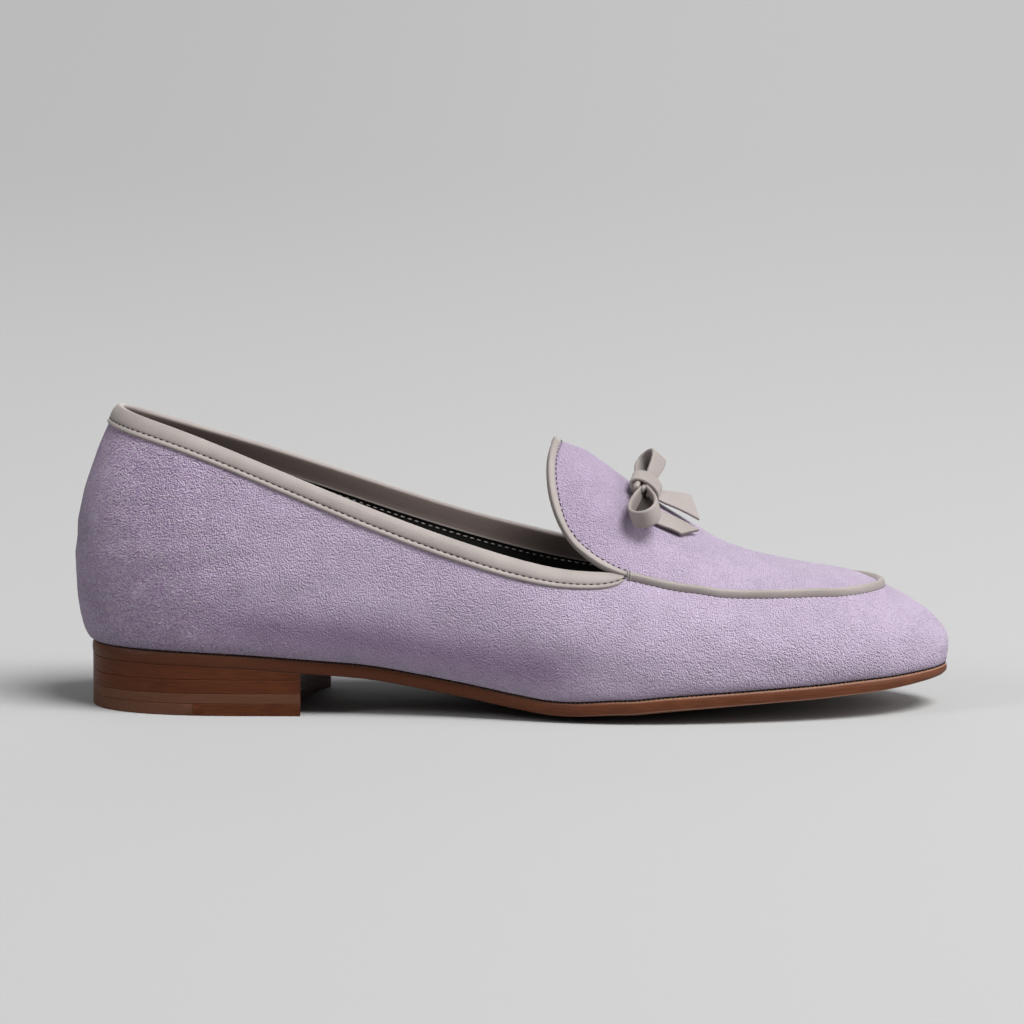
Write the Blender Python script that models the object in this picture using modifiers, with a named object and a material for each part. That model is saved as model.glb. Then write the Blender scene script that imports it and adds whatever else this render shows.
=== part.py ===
"""Bow loafer for the right foot.

A hollow suede upper with its apron and tongue, leather binding and piping, an insole, a leather outsole,
a stacked leather heel and a small ribbon bow. Metres, +Z up, toe towards +X, lateral side towards -Y.
The shoe stands on the floor at Z = 0, on its heel and on a flat spot under the ball.
"""

import math

import bmesh
import bpy
import numpy as np

# Driving dimensions of the last, in metres
LENGTH = 0.260
BALL_WIDTH = 0.085
BACK_HEIGHT = 0.0888
INSTEP_HEIGHT = 0.0790
HEEL_HEIGHT = 0.0156

# Material thicknesses and fits
WALL = 0.0018
SOLE_THICKNESS = 0.0039
SOLE_MARGIN = 0.0008
INSOLE_THICKNESS = 0.0025
GAP = 0.0003
HALF_WIDTH = BALL_WIDTH / 2

# Profile of the side wall: how round it turns in to the sole, and how soon it leans in to the head line
TURN_IN = 0.87
LEAN_IN = 1.9
GIRTH_LEVEL = 0.4

# Resolution of the faceted solids
STEPS_PER_SECTION = 4
WALL_LEVELS = (0, 0.2, 0.4, 0.55, 0.7, 0.85, 1)
TONGUE_BINDING_STEPS = 29
PIPING_ARCH_STEPS = 6
BREAST_STEPS = 9
KNOT_STEPS = 24
LOOP_STEPS = 27
TAIL_STEPS = 6
MERGE_DISTANCE = 1e-6
SHARP_ANGLE = math.radians(40)
PROBE = 0.0001


def table(columns, rows):
    """A short table in percent, read by column name."""
    return {name: np.array(column) / 100 for name, column in zip(columns.split(), zip(*rows))}


# The shoe is drawn as thirteen sections from the back of the heel to the toe. In every table x is a share
# of LENGTH from the heel, and lateral and medial are shares of half the ball width from the centre line.
# The first and the last row are single points on the centre line's two ends.

# Feather line: the lower edge of the upper, where it meets the sole
FOOT_LINE = table(
    "x lateral medial",
    [
        (2.1, 0, 0),
        (4.2, 38.5, 38.5),
        (10.6, 60, 60),
        (22.3, 64.5, 63.5),
        (34.6, 65, 59.5),
        (46.2, 73, 61.5),
        (55.4, 88, 73),
        (63.1, 95.5, 86),
        (72.3, 93.5, 93),
        (81.5, 82.5, 87.5),
        (90.8, 61, 69),
        (96.7, 34, 43),
        (99.65, -4.7, 4.7),
    ],
)

# Girth line: the widest line of the upper, with its height as a share of BACK_HEIGHT
GIRTH_LINE = table(
    "x lateral medial lateral_z medial_z",
    [
        (0, 0, 0, 51, 51),
        (2.7, 46, 45, 50.5, 50.5),
        (10.0, 69, 67, 49, 49),
        (22.3, 75, 72, 42.5, 43),
        (34.6, 77, 70, 36, 37.5),
        (46.2, 82.5, 72, 30, 32),
        (55.0, 94, 83, 24.5, 26.5),
        (63.1, 99.7, 94, 22, 23),
        (72.3, 98, 100, 21, 21),
        (81.5, 87.5, 92.5, 20.5, 20.5),
        (91.0, 65, 73, 20, 20),
        (97.1, 37, 46, 20.5, 20.5),
        (100, -4.7, 4.7, 21, 21),
    ],
)

# Head line: the upper's collar edge as far as the throat, and from there the apron seam.
# The collar's heights are shares of BACK_HEIGHT; the seam lies on the apron, which gives its height.
HEAD_LINE = table(
    "x lateral medial lateral_z medial_z",
    [
        (4.8, 0, 0, 99.7, 99.7),
        (6.6, 29, 29, 98.2, 97.2),
        (11.9, 46, 44, 93.6, 92.0),
        (22.3, 59, 56, 82.2, 82.3),
        (34.6, 68, 64, 68.0, 69.9),
        (46.2, 72.5, 69, 56.2, 59.1),
        (55.8, 74.5, 73, 49.4, 52.2),
        (63.0, 72, 72, 0, 0),
        (71.5, 71.5, 72.5, 0, 0),
        (80.2, 64, 65.5, 0, 0),
        (87.7, 45.5, 47.5, 0, 0),
        (91.2, 21.5, 23.5, 0, 0),
        (92.15, -1, 1, 0, 0),
    ],
)
THROAT_ROW = 7
TOE_ROW = 10

# Ridge of the apron: its height, and how far the apron has fallen away at ARCH_REACH from the centre line,
# as shares of INSTEP_HEIGHT, and how far the ridge lies to the medial side
RIDGE = table(
    "x height arch sway",
    [
        (52.5, 102.4, 44.0, 7),
        (56.5, 97.9, 39.6, 7),
        (58.2, 95.8, 37.2, 7),
        (60.1, 91.6, 34.0, 7),
        (63.0, 84.6, 29.8, 7),
        (67.5, 74.2, 23.2, 7),
        (71.3, 66.7, 17.8, 6.5),
        (73.3, 62.8, 15.4, 6),
        (76.9, 58.2, 12.3, 5),
        (81.1, 55.0, 10.4, 4),
        (85.0, 52.0, 8.8, 3),
        (89.5, 48.9, 9.2, 2),
        (91.7, 47.0, 10.0, 1),
        (92.7, 46.0, 10.8, 1),
        (96.0, 42.0, 10.8, 1),
    ],
)
ARCH_REACH = 0.030

# Free edge of the tongue, seen from above: how far it runs back from the throat, how full its
# sides are, how blunt its two lobes are, and their flare
TONGUE_LENGTH = 0.0216
TONGUE_FULLNESS = 0.72
TONGUE_LOBE = 1.3
TONGUE_FLARE = 0.0046
MEDIAL_FLARE_SHARE = 0.2
TONGUE_CORNER = math.radians(55)

# Underside of the sole: height along the middle and rise of its edges, as shares of HEEL_HEIGHT
SOLE_LINE = table(
    "x bottom camber",
    [
        (0, 98, 0),
        (11.2, 95, 0),
        (19.6, 89, 0),
        (26.2, 81, 0),
        (34.3, 69, 1),
        (39.7, 53, 2),
        (45.2, 34.5, 4.5),
        (50.6, 14, 9),
        (54.6, 1.5, 13),
        (57.0, 0, 14),
        (62.3, 0, 20),
        (66.8, 6, 20.5),
        (72.2, 15.5, 17.5),
        (76.3, 22.5, 14.5),
        (80.6, 29, 12),
        (84.4, 35, 9),
        (88.7, 42.5, 6),
        (93.0, 48.5, 3),
        (96.0, 53, 1.5),
        (100, 57, 0),
    ],
)
SOLE_FLAT_SHARE = 0.40
SOLE_RINGS = (0, SOLE_FLAT_SHARE, 0.7, 1)
SPINE_HEEL = -0.098
SPINE_TOE = 0.098

# Strips of leather on the upper
BINDING_THICKNESS = 0.0008
BINDING_CROWN = 0.74
COLLAR_LEG = 0.0051
COLLAR_LEG_AT_THROAT = 0.6
COLLAR_TAPER_STATIONS = 4
COLLAR_STOP_STATIONS = 2
TONGUE_LEG = 0.0021
TONGUE_BINDING_START = 0.15
PIPING_WIDTH = 0.0030
PIPING_HEIGHT = 0.0017
PIPING_SHOULDER = 0.3
PIPING_START = 0.13
PIPING_ON_SEAM = 0.05

# Heel: thickness of each layer from the floor up, the top piece's split, and the hollow breast
TOP_PIECE = 0.0034
HEEL_LAYERS = {"heel_lift_lower": 0.0027, "heel_lift_middle": 0.0038}
TOP_PIECE_SPLIT_X = -0.0938
BREAST_LATERAL_X = -0.0622
BREAST_MEDIAL_X = -0.0552
BREAST_HOLLOW = 0.0048
HEEL_TAPER = 0.0005

# Ribbon bow, in its own frame on the apron
BOW_X = 0.0371
BOW_Y = -0.0053
RIBBON_THICKNESS = 0.0011
KNOT_HALF_LENGTH = 0.0038
KNOT_RADIUS_ALONG = 0.0039
KNOT_RADIUS_UP = 0.0019
KNOT_WALL = 0.0013
LOOP_WIDTH_AT_KNOT = 0.0018
LOOP_ROOT = 0.88
LOOP_WIDTH = 0.0057
LOOP_START = 0.08
LOOP_NECK = 0.25
TAIL_SAG = 0.6

# Each loop: side, slope of its way out, turn towards the toe and lean of its width in degrees, and reach
# and half breadth in metres
BOW_LOOPS = {
    "bow_loop_lateral": (-1, -4, 11, -48, 0.0185, 0.0056),
    "bow_loop_medial": (1, 12, -10, -78, 0.0135, 0.0052),
}

# Each tail's four corners as x, y and clearance over the apron, in millimetres: near and far edge at the
# knot, then near and far edge at the cut end
BOW_TAILS = {
    "bow_tail_lateral": ((43.6, -15.2, 0.8), (44.4, -9.2, 1.4), (49.3, -14.6, 0.8), (54.8, -8.8, 1.6)),
    "bow_tail_medial": ((45.0, -3.6, 1.8), (45.2, 1.4, 4.4), (55.0, -2.0, 2.4), (52.4, 3.2, 7.5)),
}

COLOURS = {
    "suede": ((0.42, 0.32, 0.50), 0.9),
    "taupe_leather": ((0.42, 0.37, 0.34), 0.45),
    "lining": ((0.05, 0.05, 0.05), 0.7),
    "sole_leather": ((0.17, 0.065, 0.035), 0.4),
    "heel_rubber": ((0.10, 0.05, 0.035), 0.6),
}


# Curves


def smooth(x, knots, values):
    """Monotone cubic through a table's rows: it never overshoots, so level stretches stay level."""
    step = np.diff(knots)
    slope = np.diff(values) / step
    before, after = slope[:-1], slope[1:]
    limit = np.minimum(np.abs(before), np.abs(after))
    mean = (before * step[1:] + after * step[:-1]) / (step[1:] + step[:-1])
    inner = (np.sign(before) + np.sign(after)) * np.minimum(limit, 0.5 * np.abs(mean))
    tangent = np.concatenate([[slope[0]], inner, [slope[-1]]])
    i = np.clip(np.searchsorted(knots, x) - 1, 0, len(step) - 1)
    t = (x - knots[i]) / step[i]
    t = np.clip(t, 0, 1)
    curve = (2 * t**3 - 3 * t**2 + 1) * values[i] + (3 * t**2 - 2 * t**3) * values[i + 1]
    return curve + step[i] * ((t**3 - 2 * t**2 + t) * tangent[i] + (t**3 - t**2) * tangent[i + 1])


def closed_spline(knots, points, where):
    """Closed curve with smooth curvature through the points; knots has one more entry, which closes it."""
    step = np.diff(knots)
    count = len(points)
    system = np.zeros((count, count))
    goal = np.zeros_like(points)
    for i in range(count):
        before, after = step[i - 1], step[i]
        previous, following = points[i - 1], points[(i + 1) % count]
        system[i, i - 1] += after
        system[i, i] += 2 * (before + after)
        system[i, (i + 1) % count] += before
        rise = after * (points[i] - previous) / before + before * (following - points[i]) / after
        goal[i] = 3 * rise
    tangent = np.linalg.solve(system, goal)
    where = np.mod(where, knots[-1])
    i = np.clip(np.searchsorted(knots, where, side="right") - 1, 0, count - 1)
    j = (i + 1) % count
    t = ((where - knots[i]) / step[i])[:, None]
    width = step[i][:, None]
    curve = (2 * t**3 - 3 * t**2 + 1) * points[i] + (3 * t**2 - 2 * t**3) * points[j]
    return curve + width * ((t**3 - 2 * t**2 + t) * tangent[i] + (t**3 - t**2) * tangent[j])


def unit(vectors):
    return vectors / np.linalg.norm(vectors, axis=-1, keepdims=True)


# The last: sole heights, apron heights and the three lines round the shoe


def share_of_length(x):
    return x / LENGTH + 0.5


def sole_underside(x, share):
    """Height of the sole's underside; share runs from 0 on the middle line to 1 at the edge."""
    at = share_of_length(x)
    bottom = smooth(at, SOLE_LINE["x"], SOLE_LINE["bottom"])
    camber = smooth(at, SOLE_LINE["x"], SOLE_LINE["camber"])
    lift = np.clip((share - SOLE_FLAT_SHARE) / (1 - SOLE_FLAT_SHARE), 0, 1) ** 2
    return HEEL_HEIGHT * (bottom + camber * lift)


def apron_height(x, y):
    """The apron and tongue as an arched ridge over the plan."""
    at = share_of_length(x)
    height = smooth(at, RIDGE["x"], RIDGE["height"])
    arch = smooth(at, RIDGE["x"], RIDGE["arch"])
    sway = HALF_WIDTH * smooth(at, RIDGE["x"], RIDGE["sway"])
    reach = np.where(y < sway, ARCH_REACH + sway, ARCH_REACH - sway)
    return INSTEP_HEIGHT * (height - arch * ((y - sway) / reach) ** 2)


def side_points(line, side):
    """Plan points of one side of a line, heel to toe."""
    sign = -1 if side == "lateral" else 1
    x = (line["x"] - 0.5) * LENGTH
    return x, sign * line[side] * HALF_WIDTH


def foot_side(side):
    x, y = side_points(FOOT_LINE, side)
    return np.column_stack([x, y, sole_underside(x, 1.0) + SOLE_THICKNESS + GAP])


def girth_side(side):
    x, y = side_points(GIRTH_LINE, side)
    return np.column_stack([x, y, GIRTH_LINE[side + "_z"] * BACK_HEIGHT])


def head_side(side):
    x, y = side_points(HEAD_LINE, side)
    z = HEAD_LINE[side + "_z"] * BACK_HEIGHT
    z[THROAT_ROW:] = apron_height(x, y)[THROAT_ROW:]
    return np.column_stack([x, y, z])


def once_round(side_function):
    """A line's points from the back of the heel along the lateral side to the toe and back."""
    return np.vstack([side_function("lateral"), side_function("medial")[-2:0:-1]])


SECTIONS = len(GIRTH_LINE["x"])
ROUND = 2 * (SECTIONS - 1)


def lines_round_shoe(steps):
    """Foot, girth and head lines at a whole number of steps between sections."""
    girth = once_round(girth_side)
    chord = np.linalg.norm(np.roll(girth, -1, axis=0) - girth, axis=1)
    knots = np.concatenate([[0], np.cumsum(chord)])
    shares = np.arange(steps) / steps
    where = (knots[:-1, None] + np.diff(knots)[:, None] * shares).ravel()
    sides = (foot_side, girth_side, head_side)
    foot, girth, head = [closed_spline(knots, once_round(side), where) for side in sides]
    foot[:, 2] = sole_underside(foot[:, 0], 1.0) + SOLE_THICKNESS + GAP
    seam = seam_stations(steps)
    head[seam, 2] = apron_height(head[seam, 0], head[seam, 1])
    return foot, girth, head


def wall_surface(lines, level):
    """Side wall from the feather line, at level 0, over the girth line to the head line, at level 1."""
    foot, girth, head = lines
    turn = np.clip(level / GIRTH_LEVEL, 0, 1) * math.pi / 2
    lean = np.clip((level - GIRTH_LEVEL) / (1 - GIRTH_LEVEL), 0, 1)
    out, sink = np.sin(turn) ** TURN_IN, np.maximum(np.cos(turn), 0) ** TURN_IN
    points = girth + (foot - girth) * np.array([1, 1, 0]) * (1 - out)
    points = points + (foot - girth) * np.array([0, 0, 1]) * sink
    points = points + (head - girth) * np.array([1, 1, 0]) * lean**LEAN_IN
    return points + (head - girth) * np.array([0, 0, 1]) * lean


def seam_stations(steps):
    """Numbers of the stations along the apron seam, from the lateral throat round the toe."""
    return np.arange(THROAT_ROW * steps, (ROUND - THROAT_ROW) * steps + 1)


def tongue_edge(turn, lateral_throat, medial_throat):
    """Free edge of the tongue; turn runs from 0 at the lateral throat to pi at the medial one."""
    medial_share = (1 - np.cos(turn)) / 2
    throat_x = lateral_throat[0] + (medial_throat[0] - lateral_throat[0]) * medial_share
    half = np.where(turn < math.pi / 2, -lateral_throat[1], medial_throat[1])
    flare = TONGUE_FLARE * np.where(turn < math.pi / 2, 1, MEDIAL_FLARE_SHARE)
    reach = TONGUE_LENGTH * np.sin(turn) ** TONGUE_FULLNESS
    lobes = flare * np.abs(np.sin(2 * turn)) ** TONGUE_LOBE
    x = throat_x - reach - lobes
    y = -half * np.cos(turn)
    return np.column_stack([x, y, apron_height(x, y)])


def apron_surface(head, steps):
    """Apron and tongue as a grid of ribs from the toe end of the seam back to the tongue's top edge."""
    lateral_toe, medial_toe = TOE_ROW * steps, (ROUND - TOE_ROW) * steps
    lateral_throat, medial_throat = THROAT_ROW * steps, (ROUND - THROAT_ROW) * steps
    throats = head[lateral_throat], head[medial_throat]
    first = head[lateral_toe : medial_toe + 1]
    last = tongue_edge(np.linspace(TONGUE_CORNER, math.pi - TONGUE_CORNER, len(first)), *throats)
    rise = np.linspace(0, TONGUE_CORNER, 3 * steps)[1:]
    lateral = np.vstack([head[lateral_throat : lateral_toe + 1][::-1], tongue_edge(rise, *throats)])
    medial = np.vstack([head[medial_toe : medial_throat + 1], tongue_edge(math.pi - rise, *throats)])
    u = np.linspace(0, 1, len(first))[None, :, None]
    v = np.linspace(0, 1, len(lateral))[:, None, None]
    grid = (1 - v) * first[None] + v * last[None] + (1 - u) * lateral[:, None] + u * medial[:, None]
    grid -= (1 - v) * ((1 - u) * first[0] + u * first[-1]) + v * ((1 - u) * last[0] + u * last[-1])
    grid[..., 2] = apron_height(grid[..., 0], grid[..., 1])
    return grid


# Mesh helpers


def make_material(name):
    colour, roughness = COLOURS[name]
    material = bpy.data.materials.new(name)
    material.use_nodes = True
    shader = material.node_tree.nodes["Principled BSDF"]
    shader.inputs["Base Color"].default_value = (*colour, 1)
    shader.inputs["Roughness"].default_value = roughness
    shader.inputs["Metallic"].default_value = 0
    return material


def grid_faces(rows, columns, closed_rows=False, closed_columns=False):
    """Quads of a grid of points numbered row by row."""
    faces = []
    for r in range(rows if closed_rows else rows - 1):
        for c in range(columns if closed_columns else columns - 1):
            here, below = r * columns, (r + 1) % rows * columns
            beside = (c + 1) % columns
            faces.append((here + c, here + beside, below + beside, below + c))
    return faces


def add_object(name, points, faces, material, collection):
    """One named object from points and faces, with its doubles merged and its faces set outwards."""
    mesh = bpy.data.meshes.new(name)
    mesh.from_pydata([tuple(p) for p in points], [], faces)
    shape = bmesh.new()
    shape.from_mesh(mesh)
    bmesh.ops.remove_doubles(shape, verts=shape.verts, dist=MERGE_DISTANCE)
    bmesh.ops.dissolve_degenerate(shape, edges=shape.edges, dist=MERGE_DISTANCE)
    bmesh.ops.recalc_face_normals(shape, faces=shape.faces)
    shape.to_mesh(mesh)
    shape.free()
    mesh.shade_smooth()
    mesh.set_sharp_from_angle(angle=SHARP_ANGLE)
    mesh.materials.append(material)
    thing = bpy.data.objects.new(name, mesh)
    collection.objects.link(thing)
    return thing


def sweep(name, rings, material, collection, closed=False):
    """A solid through rings of equally many points, capped at both ends unless it closes on itself."""
    rings = np.asarray(rings)
    count, corners = rings.shape[:2]
    faces = grid_faces(count, corners, closed_rows=closed, closed_columns=True)
    if not closed:
        faces.append(tuple(range(corners))[::-1])
        faces.append(tuple(range((count - 1) * corners, count * corners)))
    return add_object(name, rings.reshape(-1, 3), faces, material, collection)


# Pieces


def make_upper(lines, material, collection):
    """Side walls and apron as one open surface, thickened inwards to the wall."""
    walls = [wall_surface(lines, level) for level in WALL_LEVELS]
    faces = grid_faces(len(walls), len(walls[0]), closed_columns=True)
    points = np.vstack(walls)
    apron = apron_surface(lines[2], STEPS_PER_SECTION)
    first = len(points)
    faces += [tuple(first + corner for corner in face) for face in grid_faces(*apron.shape[:2])]
    points = np.vstack([points, apron.reshape(-1, 3)])

    upper = add_object("upper", points, faces, material, collection)
    shell = upper.modifiers.new("wall", "SOLIDIFY")
    shell.thickness = WALL
    shell.offset = -1
    return upper


def spoke_grid(outline, shares, height):
    """Points on spokes from the sole's spine to an outline, with heights from height(x, share)."""
    half = len(outline) // 2
    along = np.concatenate([np.arange(half + 1), np.arange(half - 1, 0, -1)]) / half
    ease = (1 - np.cos(math.pi * along)) / 2
    spine = np.column_stack([SPINE_HEEL + (SPINE_TOE - SPINE_HEEL) * ease, np.zeros(len(outline))])
    grids = []
    for share in shares:
        plan = spine + (outline[:, :2] - spine) * share
        grids.append(np.column_stack([plan, height(plan[:, 0], share)]))
    return grids


def offset_outline(line, distance):
    """A plan outline moved outwards by a distance."""
    along = np.roll(line, -1, axis=0) - np.roll(line, 1, axis=0)
    outwards = unit(np.column_stack([along[:, 1], -along[:, 0]]))
    moved = line.copy()
    moved[:, :2] += distance * outwards
    return moved


def make_plate(name, outline, low, thickness, shares, material, collection):
    """A curved plate of one thickness: spokes on its underside and its top, joined round the edge."""
    underside = spoke_grid(outline, shares, low)
    top = spoke_grid(outline, shares, lambda x, share: low(x, share) + thickness)
    rows = underside + top[::-1]
    faces = grid_faces(len(rows), len(outline), closed_columns=True)
    return add_object(name, np.vstack(rows), faces, material, collection)


def make_soles(lines, materials, collection):
    foot = lines[0]
    make_plate(
        "outsole",
        offset_outline(foot, SOLE_MARGIN),
        sole_underside,
        SOLE_THICKNESS,
        SOLE_RINGS,
        materials["sole_leather"],
        collection,
    )
    make_plate(
        "insole",
        offset_outline(foot, -(WALL + 2 * GAP)),
        lambda x, share: sole_underside(x, share) + SOLE_THICKNESS + 2 * GAP,
        INSOLE_THICKNESS,
        SOLE_RINGS,
        materials["lining"],
        collection,
    )


def heel_plan(outline, taper):
    """Heel outline from the sole's: round the back, then across the hollow breast."""
    rim = offset_outline(outline, -taper)
    lateral = [p for p in rim[: len(rim) // 2] if p[0] < BREAST_LATERAL_X]
    medial = [p for p in rim[len(rim) // 2 :] if p[0] < BREAST_MEDIAL_X]
    lateral_y = np.interp(BREAST_LATERAL_X, rim[: len(rim) // 2, 0], rim[: len(rim) // 2, 1])
    back_half = rim[len(rim) // 2 :][::-1]
    medial_y = np.interp(BREAST_MEDIAL_X, back_half[:, 0], back_half[:, 1])
    share = np.linspace(0, 1, BREAST_STEPS)
    breast_x = BREAST_LATERAL_X + (BREAST_MEDIAL_X - BREAST_LATERAL_X) * share
    breast_x -= BREAST_HOLLOW * 4 * share * (1 - share)
    breast_y = lateral_y + (medial_y - lateral_y) * share
    plan = [(p[0], p[1]) for p in lateral]
    plan += list(zip(breast_x, breast_y))
    plan += [(p[0], p[1]) for p in medial]
    return np.array(plan)


def make_heel_layer(name, plan, low, high, material, collection):
    """One layer of the heel between two heights, each a function of x."""
    rings = [np.column_stack([plan, level(plan[:, 0]) * np.ones(len(plan))]) for level in (low, high)]
    return sweep(name, rings, material, collection)


def split_plan(plan, x, keep_rear):
    """The part of a closed plan behind or before a line across it."""
    kept = []
    for here, following in zip(plan, np.roll(plan, -1, axis=0)):
        if (here[0] < x) == keep_rear:
            kept.append(here)
        if (here[0] < x) != (following[0] < x):
            share = (x - here[0]) / (following[0] - here[0])
            kept.append(here + (following - here) * share)
    return np.array(kept)


def make_heel(lines, materials, collection):
    outline = offset_outline(lines[0], SOLE_MARGIN)
    plan = heel_plan(outline, HEEL_TAPER)

    rear = split_plan(plan, TOP_PIECE_SPLIT_X - GAP / 2, keep_rear=True)
    front = split_plan(plan, TOP_PIECE_SPLIT_X + GAP / 2, keep_rear=False)
    floor, tread = (lambda x: 0.0), (lambda x: TOP_PIECE)
    make_heel_layer("heel_top_rear", rear, floor, tread, materials["heel_rubber"], collection)
    make_heel_layer("heel_top_front", front, floor, tread, materials["sole_leather"], collection)

    level = TOP_PIECE + GAP
    for name, thickness in HEEL_LAYERS.items():
        low, high = level, level + thickness
        make_heel_layer(
            name, plan, lambda x, z=low: z, lambda x, z=high: z, materials["sole_leather"], collection
        )
        level = high + GAP
    make_heel_layer(
        "heel_lift_upper",
        plan,
        lambda x: level,
        lambda x: sole_underside(x, 1.0) - GAP,
        materials["sole_leather"],
        collection,
    )


def surface_frames(rows):
    """Outward normals of strips of surface points: rows[k] holds the points at one depth from the edge."""
    rows = np.asarray(rows)
    along = np.gradient(rows, axis=1)
    down = np.gradient(rows, axis=0)
    return unit(np.cross(down, along))


def channel_rings(rows, thickness):
    """A folded strip over an edge: rows are the surface at falling depths, the first on the edge itself."""
    rows = np.asarray(rows)
    normal = surface_frames(rows)
    up = unit(rows[0] - rows[1])
    near, far = GAP, GAP + thickness
    outer = [rows[k] + normal[k] * far for k in range(len(rows))[::-1]]
    crown = far * BINDING_CROWN
    crown_out = [
        rows[0] + normal[0] * crown + up * crown,
        rows[0] - normal[0] * (WALL / 2) + up * far,
        rows[0] - normal[0] * (WALL + crown) + up * crown,
    ]
    inner = [rows[k] - normal[k] * (WALL + far) for k in range(len(rows))]
    inner_back = [rows[k] - normal[k] * (WALL + near) for k in range(len(rows))[::-1]]
    crown_in = [
        rows[0] - normal[0] * (WALL + near) + up * near,
        rows[0] + normal[0] * near + up * near,
    ]
    outer_back = [rows[k] + normal[k] * near for k in range(len(rows))]
    loop = outer + crown_out + inner + inner_back + crown_in + outer_back
    return np.stack(loop, axis=1)


def below_head(lines, depth):
    """The wall's outer surface at a depth below the head line, measured along the surface."""
    rise = (lines[2] - lines[1]) * np.array([LEAN_IN, LEAN_IN, 1])
    fall = depth / np.linalg.norm(rise, axis=1)
    return wall_surface(lines, (1 - (1 - GIRTH_LEVEL) * fall)[:, None])


def collar_leg(count):
    """Width of the collar binding at each of its stations: it narrows towards both throats."""
    from_end = np.minimum(np.arange(count), np.arange(count)[::-1])
    grown = np.clip(from_end / COLLAR_TAPER_STATIONS, 0, 1) ** 0.5
    return COLLAR_LEG * (COLLAR_LEG_AT_THROAT + (1 - COLLAR_LEG_AT_THROAT) * grown)


def inside_apron(edge, depth):
    """Points on the apron at a distance inside a line on it, measured along the surface."""
    along = np.gradient(edge, axis=0)
    inwards = unit(np.column_stack([along[:, 1], -along[:, 0]]))
    probe = edge[:, :2] + inwards * PROBE
    rise = apron_height(probe[:, 0], probe[:, 1]) - apron_height(edge[:, 0], edge[:, 1])
    plan = edge[:, :2] + inwards * (depth / np.hypot(1, rise / PROBE))[:, None]
    return np.column_stack([plan, apron_height(plan[:, 0], plan[:, 1])])


def make_collar_binding(lines, material, collection):
    """Folded leather strip over the collar, from throat to throat round the heel."""
    stations = len(lines[0])
    end = THROAT_ROW * STEPS_PER_SECTION - COLLAR_STOP_STATIONS
    numbers = np.arange(stations - end, stations + end + 1) % stations
    picked = [line[numbers] for line in lines]
    leg = collar_leg(len(numbers))
    rows = [below_head(picked, leg * share) for share in (0, 1)]
    return sweep("collar_binding", channel_rings(rows, BINDING_THICKNESS), material, collection)


def make_tongue_binding(lines, material, collection):
    """Folded leather strip over the free edge of the tongue."""
    seam = lines[2][seam_stations(STEPS_PER_SECTION)]
    turn = np.linspace(TONGUE_BINDING_START, math.pi - TONGUE_BINDING_START, TONGUE_BINDING_STEPS)
    edge = tongue_edge(turn, seam[0], seam[-1])
    rows = [inside_apron(edge, depth) for depth in (0, TONGUE_LEG)]
    return sweep("tongue_binding", channel_rings(rows, BINDING_THICKNESS), material, collection)


def piping_lines(lines):
    """Middle of the piping and its two edges on the upper, from the tongue's binding round the toe."""
    numbers = seam_stations(STEPS_PER_SECTION)
    picked = [line[numbers] for line in lines]
    seam = picked[2]
    half = PIPING_WIDTH / 2
    wall_side = below_head(picked, np.full(len(seam), half))
    apron_side = inside_apron(seam[::-1], half)[::-1]
    lead = np.linspace(PIPING_START, PIPING_ON_SEAM, 3)
    ends = []
    for turn in (lead, math.pi - lead[::-1]):
        edge = tongue_edge(turn, seam[0], seam[-1])
        inside = inside_apron(edge[::-1], half)[::-1]
        ends.append((edge, 2 * edge - inside, inside))
    joined = zip(ends[0], (seam, wall_side, apron_side), ends[1])
    return [np.vstack(parts) for parts in joined]


def make_apron_piping(lines, material, collection):
    """Half-round piping that covers the apron seam, from throat to throat round the toe."""
    middle, wall_side, apron_side = piping_lines(lines)
    along = unit(np.gradient(middle, axis=0))
    normal = unit(np.cross(along, wall_side - apron_side))
    normal *= np.sign(normal[:, 2:3])
    base = [edge + normal * GAP for edge in (wall_side, middle, apron_side)]
    arch = []
    for share in np.linspace(0, 1, PIPING_ARCH_STEPS):
        across = wall_side * share + apron_side * (1 - share)
        bulge = middle - (wall_side + apron_side) / 2
        round_off = 4 * share * (1 - share)
        crown = PIPING_SHOULDER + (1 - PIPING_SHOULDER) * math.sqrt(round_off)
        arch.append(across + bulge * round_off + normal * (GAP + PIPING_HEIGHT * crown))
    return sweep("apron_piping", np.stack(base + arch, axis=1), material, collection)


def on_apron(x, y):
    return np.array([x, y, float(apron_height(np.array([x]), np.array([y]))[0])])


def bow_frame():
    """Origin on the apron, and axes towards the toe, towards medial and out from the surface."""
    step = KNOT_HALF_LENGTH
    along = unit(on_apron(BOW_X + step, BOW_Y) - on_apron(BOW_X - step, BOW_Y))
    across = on_apron(BOW_X, BOW_Y + step) - on_apron(BOW_X, BOW_Y - step)
    up = unit(np.cross(along, across))
    return on_apron(BOW_X, BOW_Y), along, np.cross(up, along), up


KNOT_UP = 2 * GAP + KNOT_RADIUS_UP + KNOT_WALL


def make_bow_knot(frame, material, collection):
    """A short band wrapped round the middle of the bow."""
    origin, along, across, up = frame
    section = ((-1, 0), (-1, 0.7), (-0.6, 1), (0.6, 1), (1, 0.7), (1, 0))
    rings = []
    for turn in np.linspace(0, 2 * math.pi, KNOT_STEPS, endpoint=False):
        ring = []
        for reach, wall in section:
            forward = (KNOT_RADIUS_ALONG + KNOT_WALL * wall) * math.cos(turn)
            rise = KNOT_UP + (KNOT_RADIUS_UP + KNOT_WALL * wall) * math.sin(turn)
            ring.append(origin + along * forward + across * (reach * KNOT_HALF_LENGTH) + up * rise)
        rings.append(ring)
    return sweep("bow_knot", rings, material, collection, closed=True)


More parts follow.
